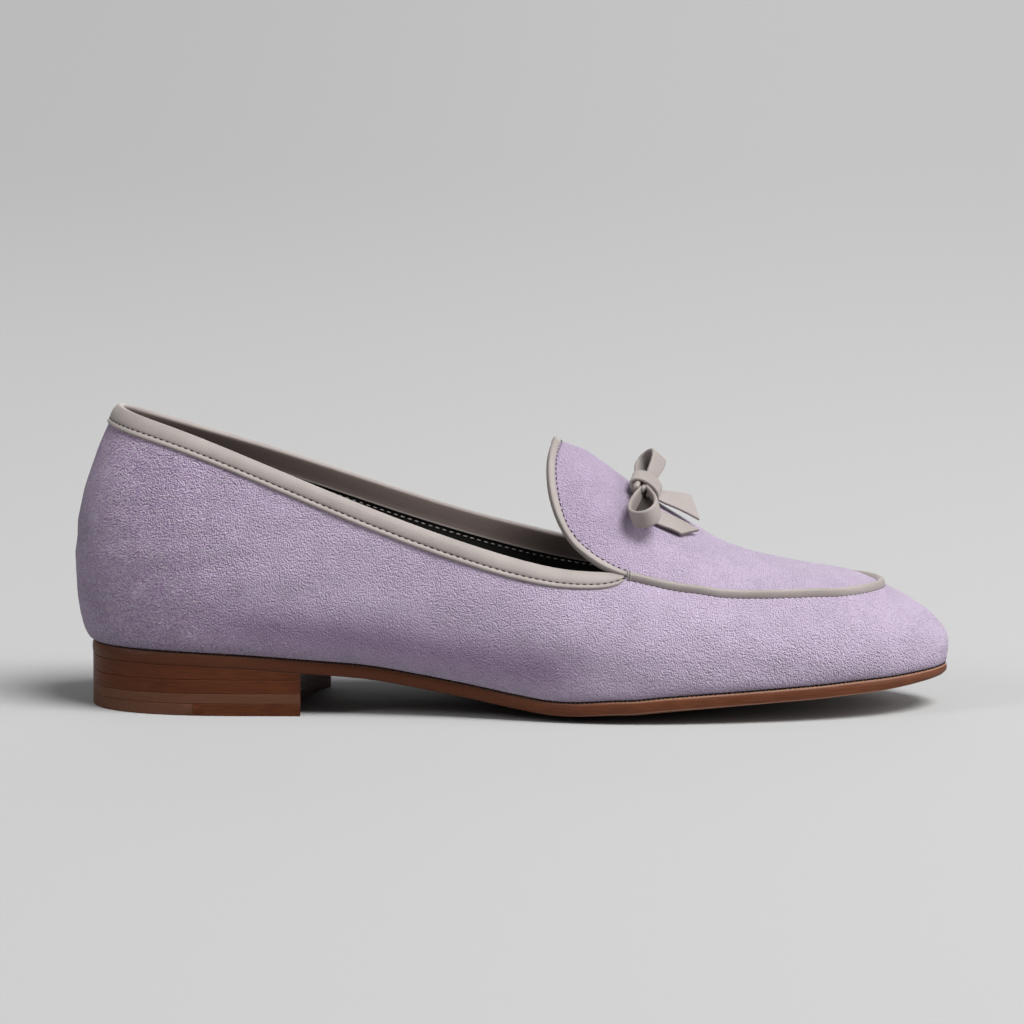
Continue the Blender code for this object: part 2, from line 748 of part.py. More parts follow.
def loop_axes(frame, side, slope, turn, lean):
    """Directions of a loop: out from the knot, across its opening, and over its ribbon's width."""
    origin, along, across, up = frame
    slope, turn, lean = math.radians(slope), math.radians(turn), math.radians(lean)
    sideways = across * (side * math.cos(turn)) + along * math.sin(turn)
    forward = along * math.cos(turn) - across * (side * math.sin(turn))
    out = sideways * math.cos(slope) + up * math.sin(slope)
    raised = up * math.cos(slope) - sideways * math.sin(slope)
    width = raised * math.cos(lean) + forward * math.sin(lean)
    opening = forward * math.cos(lean) - raised * math.sin(lean)
    return out, opening, width


def make_bow_loop(name, frame, side, slope, turn, lean, reach, breadth, material, collection):
    """A teardrop of ribbon standing on edge: out from the knot's mouth, round and back into it."""
    out, opening, width_axis = loop_axes(frame, side, slope, turn, lean)
    origin, along, across, up = frame
    mouth = origin + up * KNOT_UP + across * (side * KNOT_HALF_LENGTH * LOOP_ROOT)
    turns = np.linspace(LOOP_START, 1 - LOOP_START, LOOP_STEPS) * 2 * math.pi
    share = (1 - np.cos(turns)) / 2
    spread = np.sin(turns) * (LOOP_NECK + (1 - LOOP_NECK) * share)
    path = np.column_stack([reach * share, breadth * spread])
    tangent = unit(np.gradient(path, axis=0))
    inner = np.column_stack([-tangent[:, 1], tangent[:, 0]]) * RIBBON_THICKNESS / 2
    rings = []
    for point, step, at in zip(path, inner, share):
        half = (LOOP_WIDTH_AT_KNOT + (LOOP_WIDTH - LOOP_WIDTH_AT_KNOT) * math.sin(math.pi / 2 * at)) / 2
        ring = []
        for face, edge in ((-1, -1), (-1, 1), (1, 1), (1, -1)):
            spot = point + face * step
            ring.append(mouth + out * spot[0] + opening * spot[1] + width_axis * (edge * half))
        rings.append(ring)
    return sweep(name, rings, material, collection)


def make_bow_tail(name, corners, material, collection):
    """A flat ribbon end that leaves the knot towards the toe, with a slanted cut."""
    spots = []
    for x, y, clearance in corners:
        spots.append(on_apron(x / 1000, y / 1000) + np.array([0, 0, clearance / 1000]))
    knot_near, knot_far, end_near, end_far = spots
    up = unit(np.cross(end_near - knot_near, knot_far - knot_near)) * RIBBON_THICKNESS
    rings = []
    for share in np.linspace(0, 1, TAIL_STEPS):
        sag = up * (TAIL_SAG * math.sin(math.pi * share))
        near = knot_near + (end_near - knot_near) * share + sag
        far = knot_far + (end_far - knot_far) * share + sag
        rings.append([near, far, far + up, near + up])
    return sweep(name, rings, material, collection)


def make_bow(material, collection):
    frame = bow_frame()
    make_bow_knot(frame, material, collection)
    for name, row in BOW_LOOPS.items():
        make_bow_loop(name, frame, *row, material, collection)
    for name, corners in BOW_TAILS.items():
        make_bow_tail(name, corners, material, collection)


def main():
    for thing in list(bpy.data.objects):
        bpy.data.objects.remove(thing)
    collection = bpy.data.collections.new("bow_loafer")
    bpy.context.scene.collection.children.link(collection)
    materials = {name: make_material(name) for name in COLOURS}
    lines = lines_round_shoe(STEPS_PER_SECTION)
    make_upper(lines, materials["suede"], collection)
    make_soles(lines, materials, collection)
    make_heel(lines, materials, collection)
    make_collar_binding(lines, materials["taupe_leather"], collection)
    make_tongue_binding(lines, materials["taupe_leather"], collection)
    make_apron_piping(lines, materials["taupe_leather"], collection)
    make_bow(materials["taupe_leather"], collection)


main()
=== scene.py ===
# %% [markdown]
# # A suede bow loafer, dressed on its solid model
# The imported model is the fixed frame: sixteen plain solids with the right sizes. Each of them is replaced
# below by a finer piece that is worked out from the same tables of the last, so that leather, thread and
# suede end up exactly where the solids are. Everything is in metres, toe towards +X, floor at Z = 0.

# %% Load the frame
import math

import bmesh
import bpy
import numpy as np
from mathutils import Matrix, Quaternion, Vector


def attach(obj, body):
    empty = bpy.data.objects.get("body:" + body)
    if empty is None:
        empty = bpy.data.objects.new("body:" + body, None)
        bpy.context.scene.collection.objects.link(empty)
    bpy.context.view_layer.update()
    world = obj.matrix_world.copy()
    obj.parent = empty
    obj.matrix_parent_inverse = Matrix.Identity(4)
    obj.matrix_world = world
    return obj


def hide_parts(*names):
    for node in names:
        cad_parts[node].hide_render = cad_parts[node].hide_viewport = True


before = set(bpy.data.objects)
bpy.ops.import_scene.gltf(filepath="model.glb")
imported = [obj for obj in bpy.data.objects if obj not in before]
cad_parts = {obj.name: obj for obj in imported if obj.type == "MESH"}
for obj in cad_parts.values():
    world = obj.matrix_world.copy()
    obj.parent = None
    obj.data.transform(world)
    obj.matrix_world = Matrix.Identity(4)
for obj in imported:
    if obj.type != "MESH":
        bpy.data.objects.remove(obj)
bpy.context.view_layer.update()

# %% [markdown]
# ## Camera, floor and light
# The photograph is a catalogue view from the lateral side, taken from far away and a little above, with the
# camera a hair off level. A long lens keeps that flat perspective, and from so low down the pale floor fills
# the whole picture. One could light it with the world alone, but a large soft key from the front, above and
# the toe's side gives the fall-off down the wall of the shoe, the darker heel and the soft shadow under the
# arch. Weaker lights fill the heel and the toe, and a low one from behind lifts the darkest shadow.

# %% Camera
AIM = Vector((-0.0004, 0, 0.0573))
CAMERA_DISTANCE = 1.5
CAMERA_ELEVATION = math.radians(7.2)
CAMERA_ROLL = math.radians(0.3)
FOCAL_PIXELS, FRAME_PIXELS, SENSOR_WIDTH = 5040, 1024, 36


def make_camera():
    data = bpy.data.cameras.new("catalogue_camera")
    data.sensor_width = SENSOR_WIDTH
    data.lens = data.sensor_width * FOCAL_PIXELS / FRAME_PIXELS
    camera = bpy.data.objects.new("catalogue_camera", data)
    bpy.context.scene.collection.objects.link(camera)
    back = Vector((0, -math.cos(CAMERA_ELEVATION), math.sin(CAMERA_ELEVATION)))
    camera.location = AIM + back * CAMERA_DISTANCE
    rolled = Quaternion((0, 0, 1), CAMERA_ROLL)
    camera.rotation_euler = ((-back).to_track_quat("-Z", "Y") @ rolled).to_euler()
    bpy.context.scene.camera = camera
    return camera


camera = make_camera()
bpy.context.scene.view_settings.view_transform = "Standard"
print("lens", round(camera.data.lens, 1), "mm")

# %% Light
# name: direction it comes from, strength, angle it fills
SUNS = {
    "key_softbox": (Vector((0.39, -0.35, 0.85)), 4.75, math.radians(32)),
    "heel_softbox": (Vector((-0.75, -0.45, 0.48)), 0.9, math.radians(18)),
    "arch_reflector": (Vector((0, 0.975, 0.22)), 0.8, math.radians(40)),
}
PANEL_PLACE, PANEL_AIM, PANEL_WIDTH, PANEL_POWER = Vector((1.45, -0.3, 0.6)), Vector((0.1, 0, 0)), 0.8, 12.0
WORLD_STRENGTH = 0.21


def add_light(name, kind, pointing, place=(0, 0, 1)):
    light = bpy.data.objects.new(name, bpy.data.lights.new(name, kind))
    light.location = place
    light.rotation_euler = pointing.to_track_quat("-Z", "Y").to_euler()
    bpy.context.scene.collection.objects.link(light)
    return light.data


for name, (source, strength, softness) in SUNS.items():
    sun = add_light(name, "SUN", -source)
    sun.energy, sun.angle = strength, softness
panel = add_light("toe_softbox", "AREA", PANEL_AIM - PANEL_PLACE, PANEL_PLACE)
panel.size, panel.energy = PANEL_WIDTH, PANEL_POWER
world = bpy.data.worlds.new("studio")
bpy.context.scene.world = world
world.use_nodes = True
sky = world.node_tree.nodes["Background"].inputs
sky["Color"].default_value = (1, 1, 1, 1)
sky["Strength"].default_value = WORLD_STRENGTH

# %% [markdown]
# ## Shader maths as Python
# A finish is easier to read as a sum than as a heap of nodes. The class below wraps one output socket:
# adding, multiplying or dividing it puts the matching Math node in the tree, and `node` adds any other node
# from its type, its settings and its inputs.

# %% Wire


class Wire:
    """An output socket that can be used in sums."""

    def __init__(self, tree, socket=None):
        self.tree = tree
        self.socket = socket

    def node(self, kind, settings=None, sockets=None, out=0):
        made = self.tree.nodes.new(kind)
        for name, value in (settings or {}).items():
            setattr(made, name, value)
        for name, value in (sockets or {}).items():
            if isinstance(value, Wire):
                self.tree.links.new(value.socket, made.inputs[name])
            else:
                made.inputs[name].default_value = value
        return Wire(self.tree, made.outputs[out])

    def _math(self, operation, first, second):
        return self.node("ShaderNodeMath", {"operation": operation}, {0: first, 1: second})

    def __add__(self, other):
        return self._math("ADD", self, other)

    def __radd__(self, other):
        return self._math("ADD", other, self)

    def __sub__(self, other):
        return self._math("SUBTRACT", self, other)

    def __rsub__(self, other):
        return self._math("SUBTRACT", other, self)

    def __mul__(self, other):
        return self._math("MULTIPLY", self, other)

    def __rmul__(self, other):
        return self._math("MULTIPLY", other, self)

    def __truediv__(self, other):
        return self._math("DIVIDE", self, other)

    def __rtruediv__(self, other):
        return self._math("DIVIDE", other, self)


def mixed(share, first, second):
    """A colour between two colours, by a share."""
    colours = [colour if isinstance(colour, Wire) else (*colour, 1) for colour in (first, second)]
    sockets = {0: share, 6: colours[0], 7: colours[1]}
    return share.node("ShaderNodeMix", {"data_type": "RGBA"}, sockets, out=2)


def noise(where, scale, detail=2.0, roughness=0.5):
    sockets = {"Vector": where, "Scale": scale, "Detail": detail, "Roughness": roughness}
    return where.node("ShaderNodeTexNoise", {}, sockets)


def ranged(wire, low, high):
    """The part of a value between low and high, spread over 0 to 1."""
    sockets = {"Value": wire, "From Min": low, "From Max": high}
    return wire.node("ShaderNodeMapRange", {"interpolation_type": "SMOOTHSTEP"}, sockets)


def start_finish(name, constants):
    """A new material, its shader with the values that are the same all over, and its place coordinates."""
    material = bpy.data.materials.new(name)
    material.use_nodes = True
    shader = material.node_tree.nodes["Principled BSDF"]
    for socket, value in constants.items():
        shader.inputs[socket].default_value = value
    where = Wire(material.node_tree).node("ShaderNodeTexCoord", out="Object")
    return material, shader, where


def feed(shader, sockets):
    for name, wire in sockets.items():
        wire.tree.links.new(wire.socket, shader.inputs[name])


def bumped(height, distance, filter_width=0.1):
    sockets = {"Height": height, "Distance": distance, "Filter Width": filter_width}
    return height.node("ShaderNodeBump", {}, sockets)


print("shader maths ready")

# %% Floor
FLOOR_HALF_WIDTH = 16
FAR_START, FAR_END = -0.3, 3.0
FADE_EYE, FADE_TOE_SIDE, FADE_HEEL_SIDE = 2.2, 0.07, -0.10
# the paper's painted shade, and its own pale tone
PAPER_PAINTED_SHADE, PAPER_PALE = (0.293, 0.293, 0.293), (0.353, 0.353, 0.353)


def make_floor():
    """A sheet of pale paper, with a painted fall-off of light towards the far heel side."""
    half = FLOOR_HALF_WIDTH
    corners = [(-half, -half, 0), (half, -half, 0), (half, half, 0), (-half, half, 0)]
    mesh = bpy.data.meshes.new("pale_floor")
    mesh.from_pydata(corners, [], [(0, 1, 2, 3)])
    floor = bpy.data.objects.new("pale_floor", mesh)
    bpy.context.scene.collection.objects.link(floor)
    material, shader, where = start_finish("pale_paper", {"Roughness": 1, "Specular IOR Level": 0})
    east = where.node("ShaderNodeSeparateXYZ", {}, {0: where}, out="X")
    north = where.node("ShaderNodeSeparateXYZ", {}, {0: where}, out="Y")
    # painted shade: the paper darkens towards the far side and the heel side, as the light falls off
    far = ranged(north, FAR_START, FAR_END)
    heel_side = ranged(east / (north + FADE_EYE), FADE_TOE_SIDE, FADE_HEEL_SIDE)
    shade = far * 0.4 + heel_side * 0.2 + far * heel_side * 0.4
    feed(shader, {"Base Color": mixed(shade, PAPER_PALE, PAPER_PAINTED_SHADE)})
    mesh.materials.append(material)
    return floor


print("stage:", make_floor().name)

# %% [markdown]
# ## Suede
# Suede is the flesh side of a hide, brushed up to a short nap. On this shoe it is a pale lilac with a pebbled
# grain of about half a millimetre. Its pits are darker, partly their own tone and partly painted shade, and
# the grain is stronger towards the heel, where the pits get a deeper, more violet painted shade. Brushing
# leaves faint clouds. Painted shade darkens a band low on the quarters and the feather line, and the tongue
# is darker towards its top edge; the mesh carries that in its attribute `edge`. Hair particles would give
# the nap, but far too many faces; small cells in the bump, flecks in the colour and a little sheen for the
# fibre tips look the same at this distance.

# %% Suede finish
# the pale tone, then the pits' colour, partly the grain's own tone and partly painted shade
LILAC_PALE = (0.424, 0.367, 0.452)
LILAC_PIT_TONE_AND_SHADE = (0.292, 0.222, 0.328)
# the colour of the painted shade low on the quarters and at the feather line, which also darkens the tongue
LILAC_PAINTED_SHADE = (0.178, 0.120, 0.202)
# the pits' colour at the heel, a deeper and more violet painted shade
LILAC_HEEL_PAINTED_SHADE = (0.270, 0.164, 0.318)
# cells to the metre of the tufts, the flecks, the worked patches and the brushed clouds
TUFT_SCALE, FLECK_SCALE, PATCH_SCALE, CLOUD_SCALE = 2700, 1500, 130, 20
TUFT_DEPTH, HEEL_RELIEF, HEEL_STARTS_X, HEEL_FULL_X = 0.0011, 1.4, -0.05, -0.12


def suede_finish():
    material, shader, where = start_finish(
        "lilac_suede",
        {"Metallic": 0, "Specular IOR Level": 0.05, "Sheen Weight": 0.15, "Sheen Roughness": 0.5},
    )
    # the attribute `edge` carries painted shade low on the quarters and at the feather line, and the darker
    # tongue
    low = where.node("ShaderNodeAttribute", {"attribute_name": "edge"}, out="Fac")
    clumps = where.node(
        "ShaderNodeTexVoronoi",
        {"feature": "SMOOTH_F1"},
        {"Vector": where, "Scale": TUFT_SCALE, "Smoothness": 0.3},
    )
    tufts = noise(where, TUFT_SCALE, detail=1.5, roughness=0.6)
    worked = ranged(noise(where, PATCH_SCALE), 0.35, 0.65) * 0.3 + 0.84
    brushed = ranged(noise(where, CLOUD_SCALE), 0.3, 0.7)
    along = where.node("ShaderNodeSeparateXYZ", {}, {"Vector": where}, out="X")
    heel = ranged(along, HEEL_STARTS_X, HEEL_FULL_X)
    # grain colour: pits darker, partly own tone and partly painted shade; more contrast and flecks at the
    # heel are painted shade
    pebbles = (1 - clumps) * 0.75 + tufts * 0.25
    grain = worked * (heel * HEEL_RELIEF + 1) * pebbles
    flecks = ranged(noise(where, FLECK_SCALE, detail=1), 0.4, 0.6) - 0.5
    shade = ranged(pebbles, 0.35, 0.8) * (heel * 0.3 + 0.4) + brushed * 0.09 + 0.305
    shade = shade + flecks * (heel * 0.45 + 0.2)
    deep = mixed(heel, LILAC_PIT_TONE_AND_SHADE, LILAC_HEEL_PAINTED_SHADE)
    feed(
        shader,
        {
            "Base Color": mixed(low * 0.8, mixed(shade, deep, LILAC_PALE), LILAC_PAINTED_SHADE),
            "Roughness": 0.95 - tufts * 0.1,
            "Normal": bumped(grain, TUFT_DEPTH, 1.0),
        },
    )
    return material


suede = suede_finish()
print("finish:", suede.name)

# %% [markdown]
# ## Smooth leathers
# The binding, piping and bow are a taupe calf leather with fine grain and a soft sheen. Inside the collar
# the binding is darker, painted shade; the attribute `edge` marks that side. The lining and sock are nearly
# black. The thread is waxed linen. All of them share one recipe, a base colour that drifts a little, fine
# cells for the grain and a bump made from the same cells, so one function with two colours makes every one
# of them.

# %% Leather finish
# how much the painted shade inside the collar darkens and warms each leather's dark colour
INSIDE_PAINTED_SHADE = (0.56, 0.49, 0.47)
DRIFT_SCALE, FINE_SHARE = 90, 2.3


def leather_finish(name, light, dark, roughness, grain_scale, grain_depth, specular):
    material, shader, where = start_finish(name, {"Metallic": 0, "Specular IOR Level": specular})
    cells = where.node(
        "ShaderNodeTexVoronoi", {"feature": "DISTANCE_TO_EDGE"}, {"Vector": where, "Scale": grain_scale}
    )
    grain = ranged(cells, 0.0, 0.35)
    fine = noise(where, grain_scale * FINE_SHARE)
    patches = noise(where, DRIFT_SCALE, detail=3)
    shade = ranged(patches, 0.25, 0.75) * 0.6 + grain * 0.3 + fine * 0.1
    # painted shade: the attribute `edge` marks the shaded inside of the collar binding
    inside_shade = where.node("ShaderNodeAttribute", {"attribute_name": "edge"}, out="Fac")
    inside = tuple(share * part for share, part in zip(INSIDE_PAINTED_SHADE, dark))
    feed(
        shader,
        {
            "Base Color": mixed(inside_shade, mixed(shade, dark, light), inside),
            "Roughness": roughness + 0.12 - grain * 0.12 + patches * 0.08,
            "Normal": bumped(grain * 0.6 + fine * 0.4, grain_depth),
        },
    )
    return material


# name: light and dark colour, roughness, grain to the metre, depth of the grain, specular level
LEATHERS = {
    "taupe_calf": ((0.300, 0.266, 0.250), (0.229, 0.200, 0.187), 0.42, 2300, 0.00006, 0.36),
    "black_lining": ((0.012, 0.011, 0.010), (0.006, 0.005, 0.005), 0.6, 1500, 0.00008, 0.2),
    "dark_thread": ((0.028, 0.021, 0.019), (0.012, 0.009, 0.008), 0.7, 3000, 0.00003, 0.15),
    "pale_thread": ((0.420, 0.385, 0.360), (0.330, 0.295, 0.275), 0.6, 3000, 0.00003, 0.2),
    # the fold closing the bow's loops underneath: its dark colour is painted shade
    "fold_painted_shade": ((0.070, 0.058, 0.055), (0.040, 0.033, 0.031), 0.7, 1800, 0.00006, 0.15),
}
taupe, black_lining, dark_thread, pale_thread, fold_painted_shade = [
    leather_finish(name, *settings) for name, settings in LEATHERS.items()
]
print("finishes:", list(LEATHERS))

# %% [markdown]
# ## Sole leather and rubber
# The sole and the heel are cut from thick brown leather. Their edges show its layers as fine level streaks,
# stained dark and waxed. The attribute `edge` climbs from 0 to 1 up the sole's edge, and on a heel lift it is
# near 1 at both arrises, so that the finish can rub arrises lighter, as wear does. The rear of the top piece
# is rubber, and the lift above it is a greyer board.

# %% Sole finishes
STREAK_STRETCH, STREAK_SCALE, PORE_SCALE, STAIN_SCALE, STREAK_DEPTH = (1, 1, 14), 170, 1900, 55, 0.00012


def sole_finish(name, pale, dark, worn, wear_share, roughness, raw_share, heel_share):
    """Stained leather; raw_share bares the forepart's lower arris, heel_share below 1 darkens the rear."""
    material, shader, where = start_finish(name, {"Metallic": 0, "Specular IOR Level": 0.14})
    edge = where.node("ShaderNodeAttribute", {"attribute_name": "edge"}, out="Fac")
    flat = where.node("ShaderNodeVectorMath", {"operation": "MULTIPLY"}, {0: where, 1: STREAK_STRETCH})
    forward = where.node("ShaderNodeSeparateXYZ", {}, {0: where}, out="X")
    streaks = noise(flat, STREAK_SCALE, detail=4, roughness=0.6)
    pores = noise(where, PORE_SCALE)
    patches = noise(where, STAIN_SCALE)
    stain = ranged(streaks, 0.3, 0.7) * 0.5 + ranged(patches, 0.3, 0.7) * 0.3 + pores * 0.2
    stain = stain * (ranged(forward, -0.03, 0.05) * (1 - heel_share) + heel_share)
    rubbed = ranged(edge, 0.78, 0.93) * wear_share * (pores * 0.4 + ranged(forward, 0.0, 0.06) * 0.9)
    raw = ranged(edge, 0.14, 0.04) * ranged(forward, 0.0, 0.05) * raw_share
    stained = mixed(rubbed, mixed(stain, dark, pale), worn)
    feed(
        shader,
        {
            "Base Color": mixed(raw, stained, worn),
            "Roughness": roughness + pores * 0.2 - streaks * 0.1,
            "Normal": bumped(streaks * 0.5 + pores * 0.5, STREAK_DEPTH),
        },
    )
    return material


# name: pale, dark and worn colour, then shares of wear, roughness, raw arris and stain at the heel
SOLE_FINISHES = {
    "stained_sole_leather": (
        ((0.122, 0.040, 0.018), (0.058, 0.017, 0.007), (0.280, 0.150, 0.100)),
        (0.8, 0.42, 0.75, 0.2),
    ),
    "stacked_heel_leather": (
        ((0.084, 0.023, 0.007), (0.040, 0.010, 0.003), (0.104, 0.034, 0.012)),
        (0.6, 0.42, 0.0, 1.0),
    ),
    "brown_rubber": (
        ((0.090, 0.038, 0.021), (0.072, 0.029, 0.015), (0.112, 0.050, 0.028)),
        (0.2, 0.5, 0.0, 1.0),
    ),
    "grey_brown_board": (
        ((0.094, 0.038, 0.020), (0.068, 0.026, 0.013), (0.112, 0.048, 0.026)),
        (0.2, 0.5, 0.0, 1.0),
    ),
}
sole_leather, heel_leather, heel_rubber, heel_board = [
    sole_finish(name, *colours, *shares) for name, (colours, shares) in SOLE_FINISHES.items()
]
print("finishes:", list(SOLE_FINISHES))

# %% [markdown]
# ## The last
# A shoe takes its shape from its last. Three closed lines round it carry that shape: the feather line where
# upper meets sole, the girth line at the fullest part, and the head line, which is the collar and then the
# apron seam. One could sculpt the upper, but a sculpted shape would drift from the solids. The tables below
# are the same short ones that the solids come from, only followed here in finer steps.

# %% Sizes of the last
LENGTH, BALL_WIDTH, BACK_HEIGHT, INSTEP_HEIGHT, HEEL_HEIGHT = 0.260, 0.085, 0.0888, 0.0790, 0.0156
WALL, SOLE_THICKNESS, SOLE_MARGIN, INSOLE_THICKNESS, GAP = 0.0018, 0.0039, 0.0008, 0.0025, 0.0003
HALF_WIDTH = BALL_WIDTH / 2
TURN_IN, LEAN_IN, GIRTH_LEVEL = 0.87, 1.9, 0.4
FINE = 12


def table(columns, rows):
    """A short table in percent, read by column name."""
    return {name: np.array(column) / 100 for name, column in zip(columns.split(), zip(*rows))}


FOOT_LINE = table(
    "x lateral medial",
    [
        (2.1, 0, 0),
        (4.2, 38.5, 38.5),
        (10.6, 60, 60),
        (22.3, 64.5, 63.5),
        (34.6, 65, 59.5),
        (46.2, 73, 61.5),
        (55.4, 88, 73),
        (63.1, 95.5, 86),
        (72.3, 93.5, 93),
        (81.5, 82.5, 87.5),
        (90.8, 61, 69),
        (96.7, 34, 43),
        (99.65, -4.7, 4.7),
    ],
)
GIRTH_LINE = table(
    "x lateral medial lateral_z medial_z",
    [
        (0, 0, 0, 51, 51),
        (2.7, 46, 45, 50.5, 50.5),
        (10.0, 69, 67, 49, 49),
        (22.3, 75, 72, 42.5, 43),
        (34.6, 77, 70, 36, 37.5),
        (46.2, 82.5, 72, 30, 32),
        (55.0, 94, 83, 24.5, 26.5),
        (63.1, 99.7, 94, 22, 23),
        (72.3, 98, 100, 21, 21),
        (81.5, 87.5, 92.5, 20.5, 20.5),
        (91.0, 65, 73, 20, 20),
        (97.1, 37, 46, 20.5, 20.5),
        (100, -4.7, 4.7, 21, 21),
    ],
)
HEAD_LINE = table(
    "x lateral medial lateral_z medial_z",
    [
        (4.8, 0, 0, 99.7, 99.7),
        (6.6, 29, 29, 98.2, 97.2),
        (11.9, 46, 44, 93.6, 92.0),
        (22.3, 59, 56, 82.2, 82.3),
        (34.6, 68, 64, 68.0, 69.9),
        (46.2, 72.5, 69, 56.2, 59.1),
        (55.8, 74.5, 73, 49.4, 52.2),
        (63.0, 72, 72, 0, 0),
        (71.5, 71.5, 72.5, 0, 0),
        (80.2, 64, 65.5, 0, 0),
        (87.7, 45.5, 47.5, 0, 0),
        (91.2, 21.5, 23.5, 0, 0),
        (92.15, -1, 1, 0, 0),
    ],
)
THROAT_ROW, TOE_ROW = 7, 10
print("sections:", len(GIRTH_LINE["x"]))

# %% Apron ridge, tongue and sole line
RIDGE = table(
    "x height arch sway",
    [
        (52.5, 102.4, 44.0, 7),
        (56.5, 97.9, 39.6, 7),
        (58.2, 95.8, 37.2, 7),
        (60.1, 91.6, 34.0, 7),
        (63.0, 84.6, 29.8, 7),
        (67.5, 74.2, 23.2, 7),
        (71.3, 66.7, 17.8, 6.5),
        (73.3, 62.8, 15.4, 6),
        (76.9, 58.2, 12.3, 5),
        (81.1, 55.0, 10.4, 4),
        (85.0, 52.0, 8.8, 3),
        (89.5, 48.9, 9.2, 2),
        (91.7, 47.0, 10.0, 1),
        (92.7, 46.0, 10.8, 1),
        (96.0, 42.0, 10.8, 1),
    ],
)
ARCH_REACH = 0.030
TONGUE_LENGTH, TONGUE_FULLNESS, TONGUE_LOBE = 0.0216, 0.72, 1.3
TONGUE_FLARE, MEDIAL_FLARE_SHARE = 0.0046, 0.2
TONGUE_CORNER = math.radians(55)
SOLE_LINE = table(
    "x bottom camber",
    [
        (0, 98, 0),
        (11.2, 95, 0),
        (19.6, 89, 0),
        (26.2, 81, 0),
        (34.3, 69, 1),
        (39.7, 53, 2),
        (45.2, 34.5, 4.5),
        (50.6, 14, 9),
        (54.6, 1.5, 13),
        (57.0, 0, 14),
        (62.3, 0, 20),
        (66.8, 6, 20.5),
        (72.2, 15.5, 17.5),
        (76.3, 22.5, 14.5),
        (80.6, 29, 12),
        (84.4, 35, 9),
        (88.7, 42.5, 6),
        (93.0, 48.5, 3),
        (96.0, 53, 1.5),
        (100, 57, 0),
    ],
)
SOLE_FLAT_SHARE, SPINE_HEEL, SPINE_TOE = 0.40, -0.098, 0.098
print("ridge rows:", len(RIDGE["x"]), "sole rows:", len(SOLE_LINE["x"]))

# %% Curves through the tables


def unit(vectors):
    return vectors / np.linalg.norm(vectors, axis=-1, keepdims=True)


def smooth(x, knots, values):
    """Monotone cubic through a table's rows: it never overshoots, so level stretches stay level."""
    step = np.diff(knots)
    slope = np.diff(values) / step
    before, after = slope[:-1], slope[1:]
    limit = np.minimum(np.abs(before), np.abs(after))
    mean = (before * step[1:] + after * step[:-1]) / (step[1:] + step[:-1])
    inner = (np.sign(before) + np.sign(after)) * np.minimum(limit, 0.5 * np.abs(mean))
    tangent = np.concatenate([[slope[0]], inner, [slope[-1]]])
    i = np.clip(np.searchsorted(knots, x) - 1, 0, len(step) - 1)
    t = np.clip((x - knots[i]) / step[i], 0, 1)
    curve = (2 * t**3 - 3 * t**2 + 1) * values[i] + (3 * t**2 - 2 * t**3) * values[i + 1]
    return curve + step[i] * ((t**3 - 2 * t**2 + t) * tangent[i] + (t**3 - t**2) * tangent[i + 1])


def closed_spline(knots, points, where):
    """Closed curve with smooth curvature through the points; knots has one more entry, which closes it."""
    step = np.diff(knots)
    count = len(points)
    system = np.zeros((count, count))
    goal = np.zeros_like(points)
    for i in range(count):
        before, after = step[i - 1], step[i]
        previous, following = points[i - 1], points[(i + 1) % count]
        system[i, i - 1] += after
        system[i, i] += 2 * (before + after)
        system[i, (i + 1) % count] += before
        goal[i] = 3 * (after * (points[i] - previous) / before + before * (following - points[i]) / after)
    tangent = np.linalg.solve(system, goal)
    where = np.mod(where, knots[-1])
    i = np.clip(np.searchsorted(knots, where, side="right") - 1, 0, count - 1)
    j = (i + 1) % count
    t = ((where - knots[i]) / step[i])[:, None]
    width = step[i][:, None]
    curve = (2 * t**3 - 3 * t**2 + 1) * points[i] + (3 * t**2 - 2 * t**3) * points[j]
    return curve + width * ((t**3 - 2 * t**2 + t) * tangent[i] + (t**3 - t**2) * tangent[j])


print("curves ready")

# %% Heights of sole and apron


def sole_underside(x, share):
    """Height of the sole's underside; share runs from 0 on the middle line to 1 at the edge."""
    at = x / LENGTH + 0.5
    bottom = smooth(at, SOLE_LINE["x"], SOLE_LINE["bottom"])
    camber = smooth(at, SOLE_LINE["x"], SOLE_LINE["camber"])
    lift = np.clip((share - SOLE_FLAT_SHARE) / (1 - SOLE_FLAT_SHARE), 0, 1) ** 2
    return HEEL_HEIGHT * (bottom + camber * lift)


def apron_height(x, y):
    """The apron and tongue as an arched ridge over the plan."""
    at = x / LENGTH + 0.5
    height = smooth(at, RIDGE["x"], RIDGE["height"])
    arch = smooth(at, RIDGE["x"], RIDGE["arch"])
    sway = HALF_WIDTH * smooth(at, RIDGE["x"], RIDGE["sway"])
    reach = np.where(y < sway, ARCH_REACH + sway, ARCH_REACH - sway)
    return INSTEP_HEIGHT * (height - arch * ((y - sway) / reach) ** 2)


print("apron at its middle:", round(float(apron_height(np.array([0.05]), np.array([0.0]))[0]), 4))

# %% Lines round the shoe
ROUND = 2 * (len(GIRTH_LINE["x"]) - 1)


def side_points(line, side):
    sign = -1 if side == "lateral" else 1
    return (line["x"] - 0.5) * LENGTH, sign * line[side] * HALF_WIDTH


def foot_side(side):
    x, y = side_points(FOOT_LINE, side)
    return np.column_stack([x, y, sole_underside(x, 1.0) + SOLE_THICKNESS + GAP])


def girth_side(side):
    x, y = side_points(GIRTH_LINE, side)
    return np.column_stack([x, y, GIRTH_LINE[side + "_z"] * BACK_HEIGHT])


def head_side(side):
    x, y = side_points(HEAD_LINE, side)
    z = HEAD_LINE[side + "_z"] * BACK_HEIGHT
    z[THROAT_ROW:] = apron_height(x, y)[THROAT_ROW:]
    return np.column_stack([x, y, z])


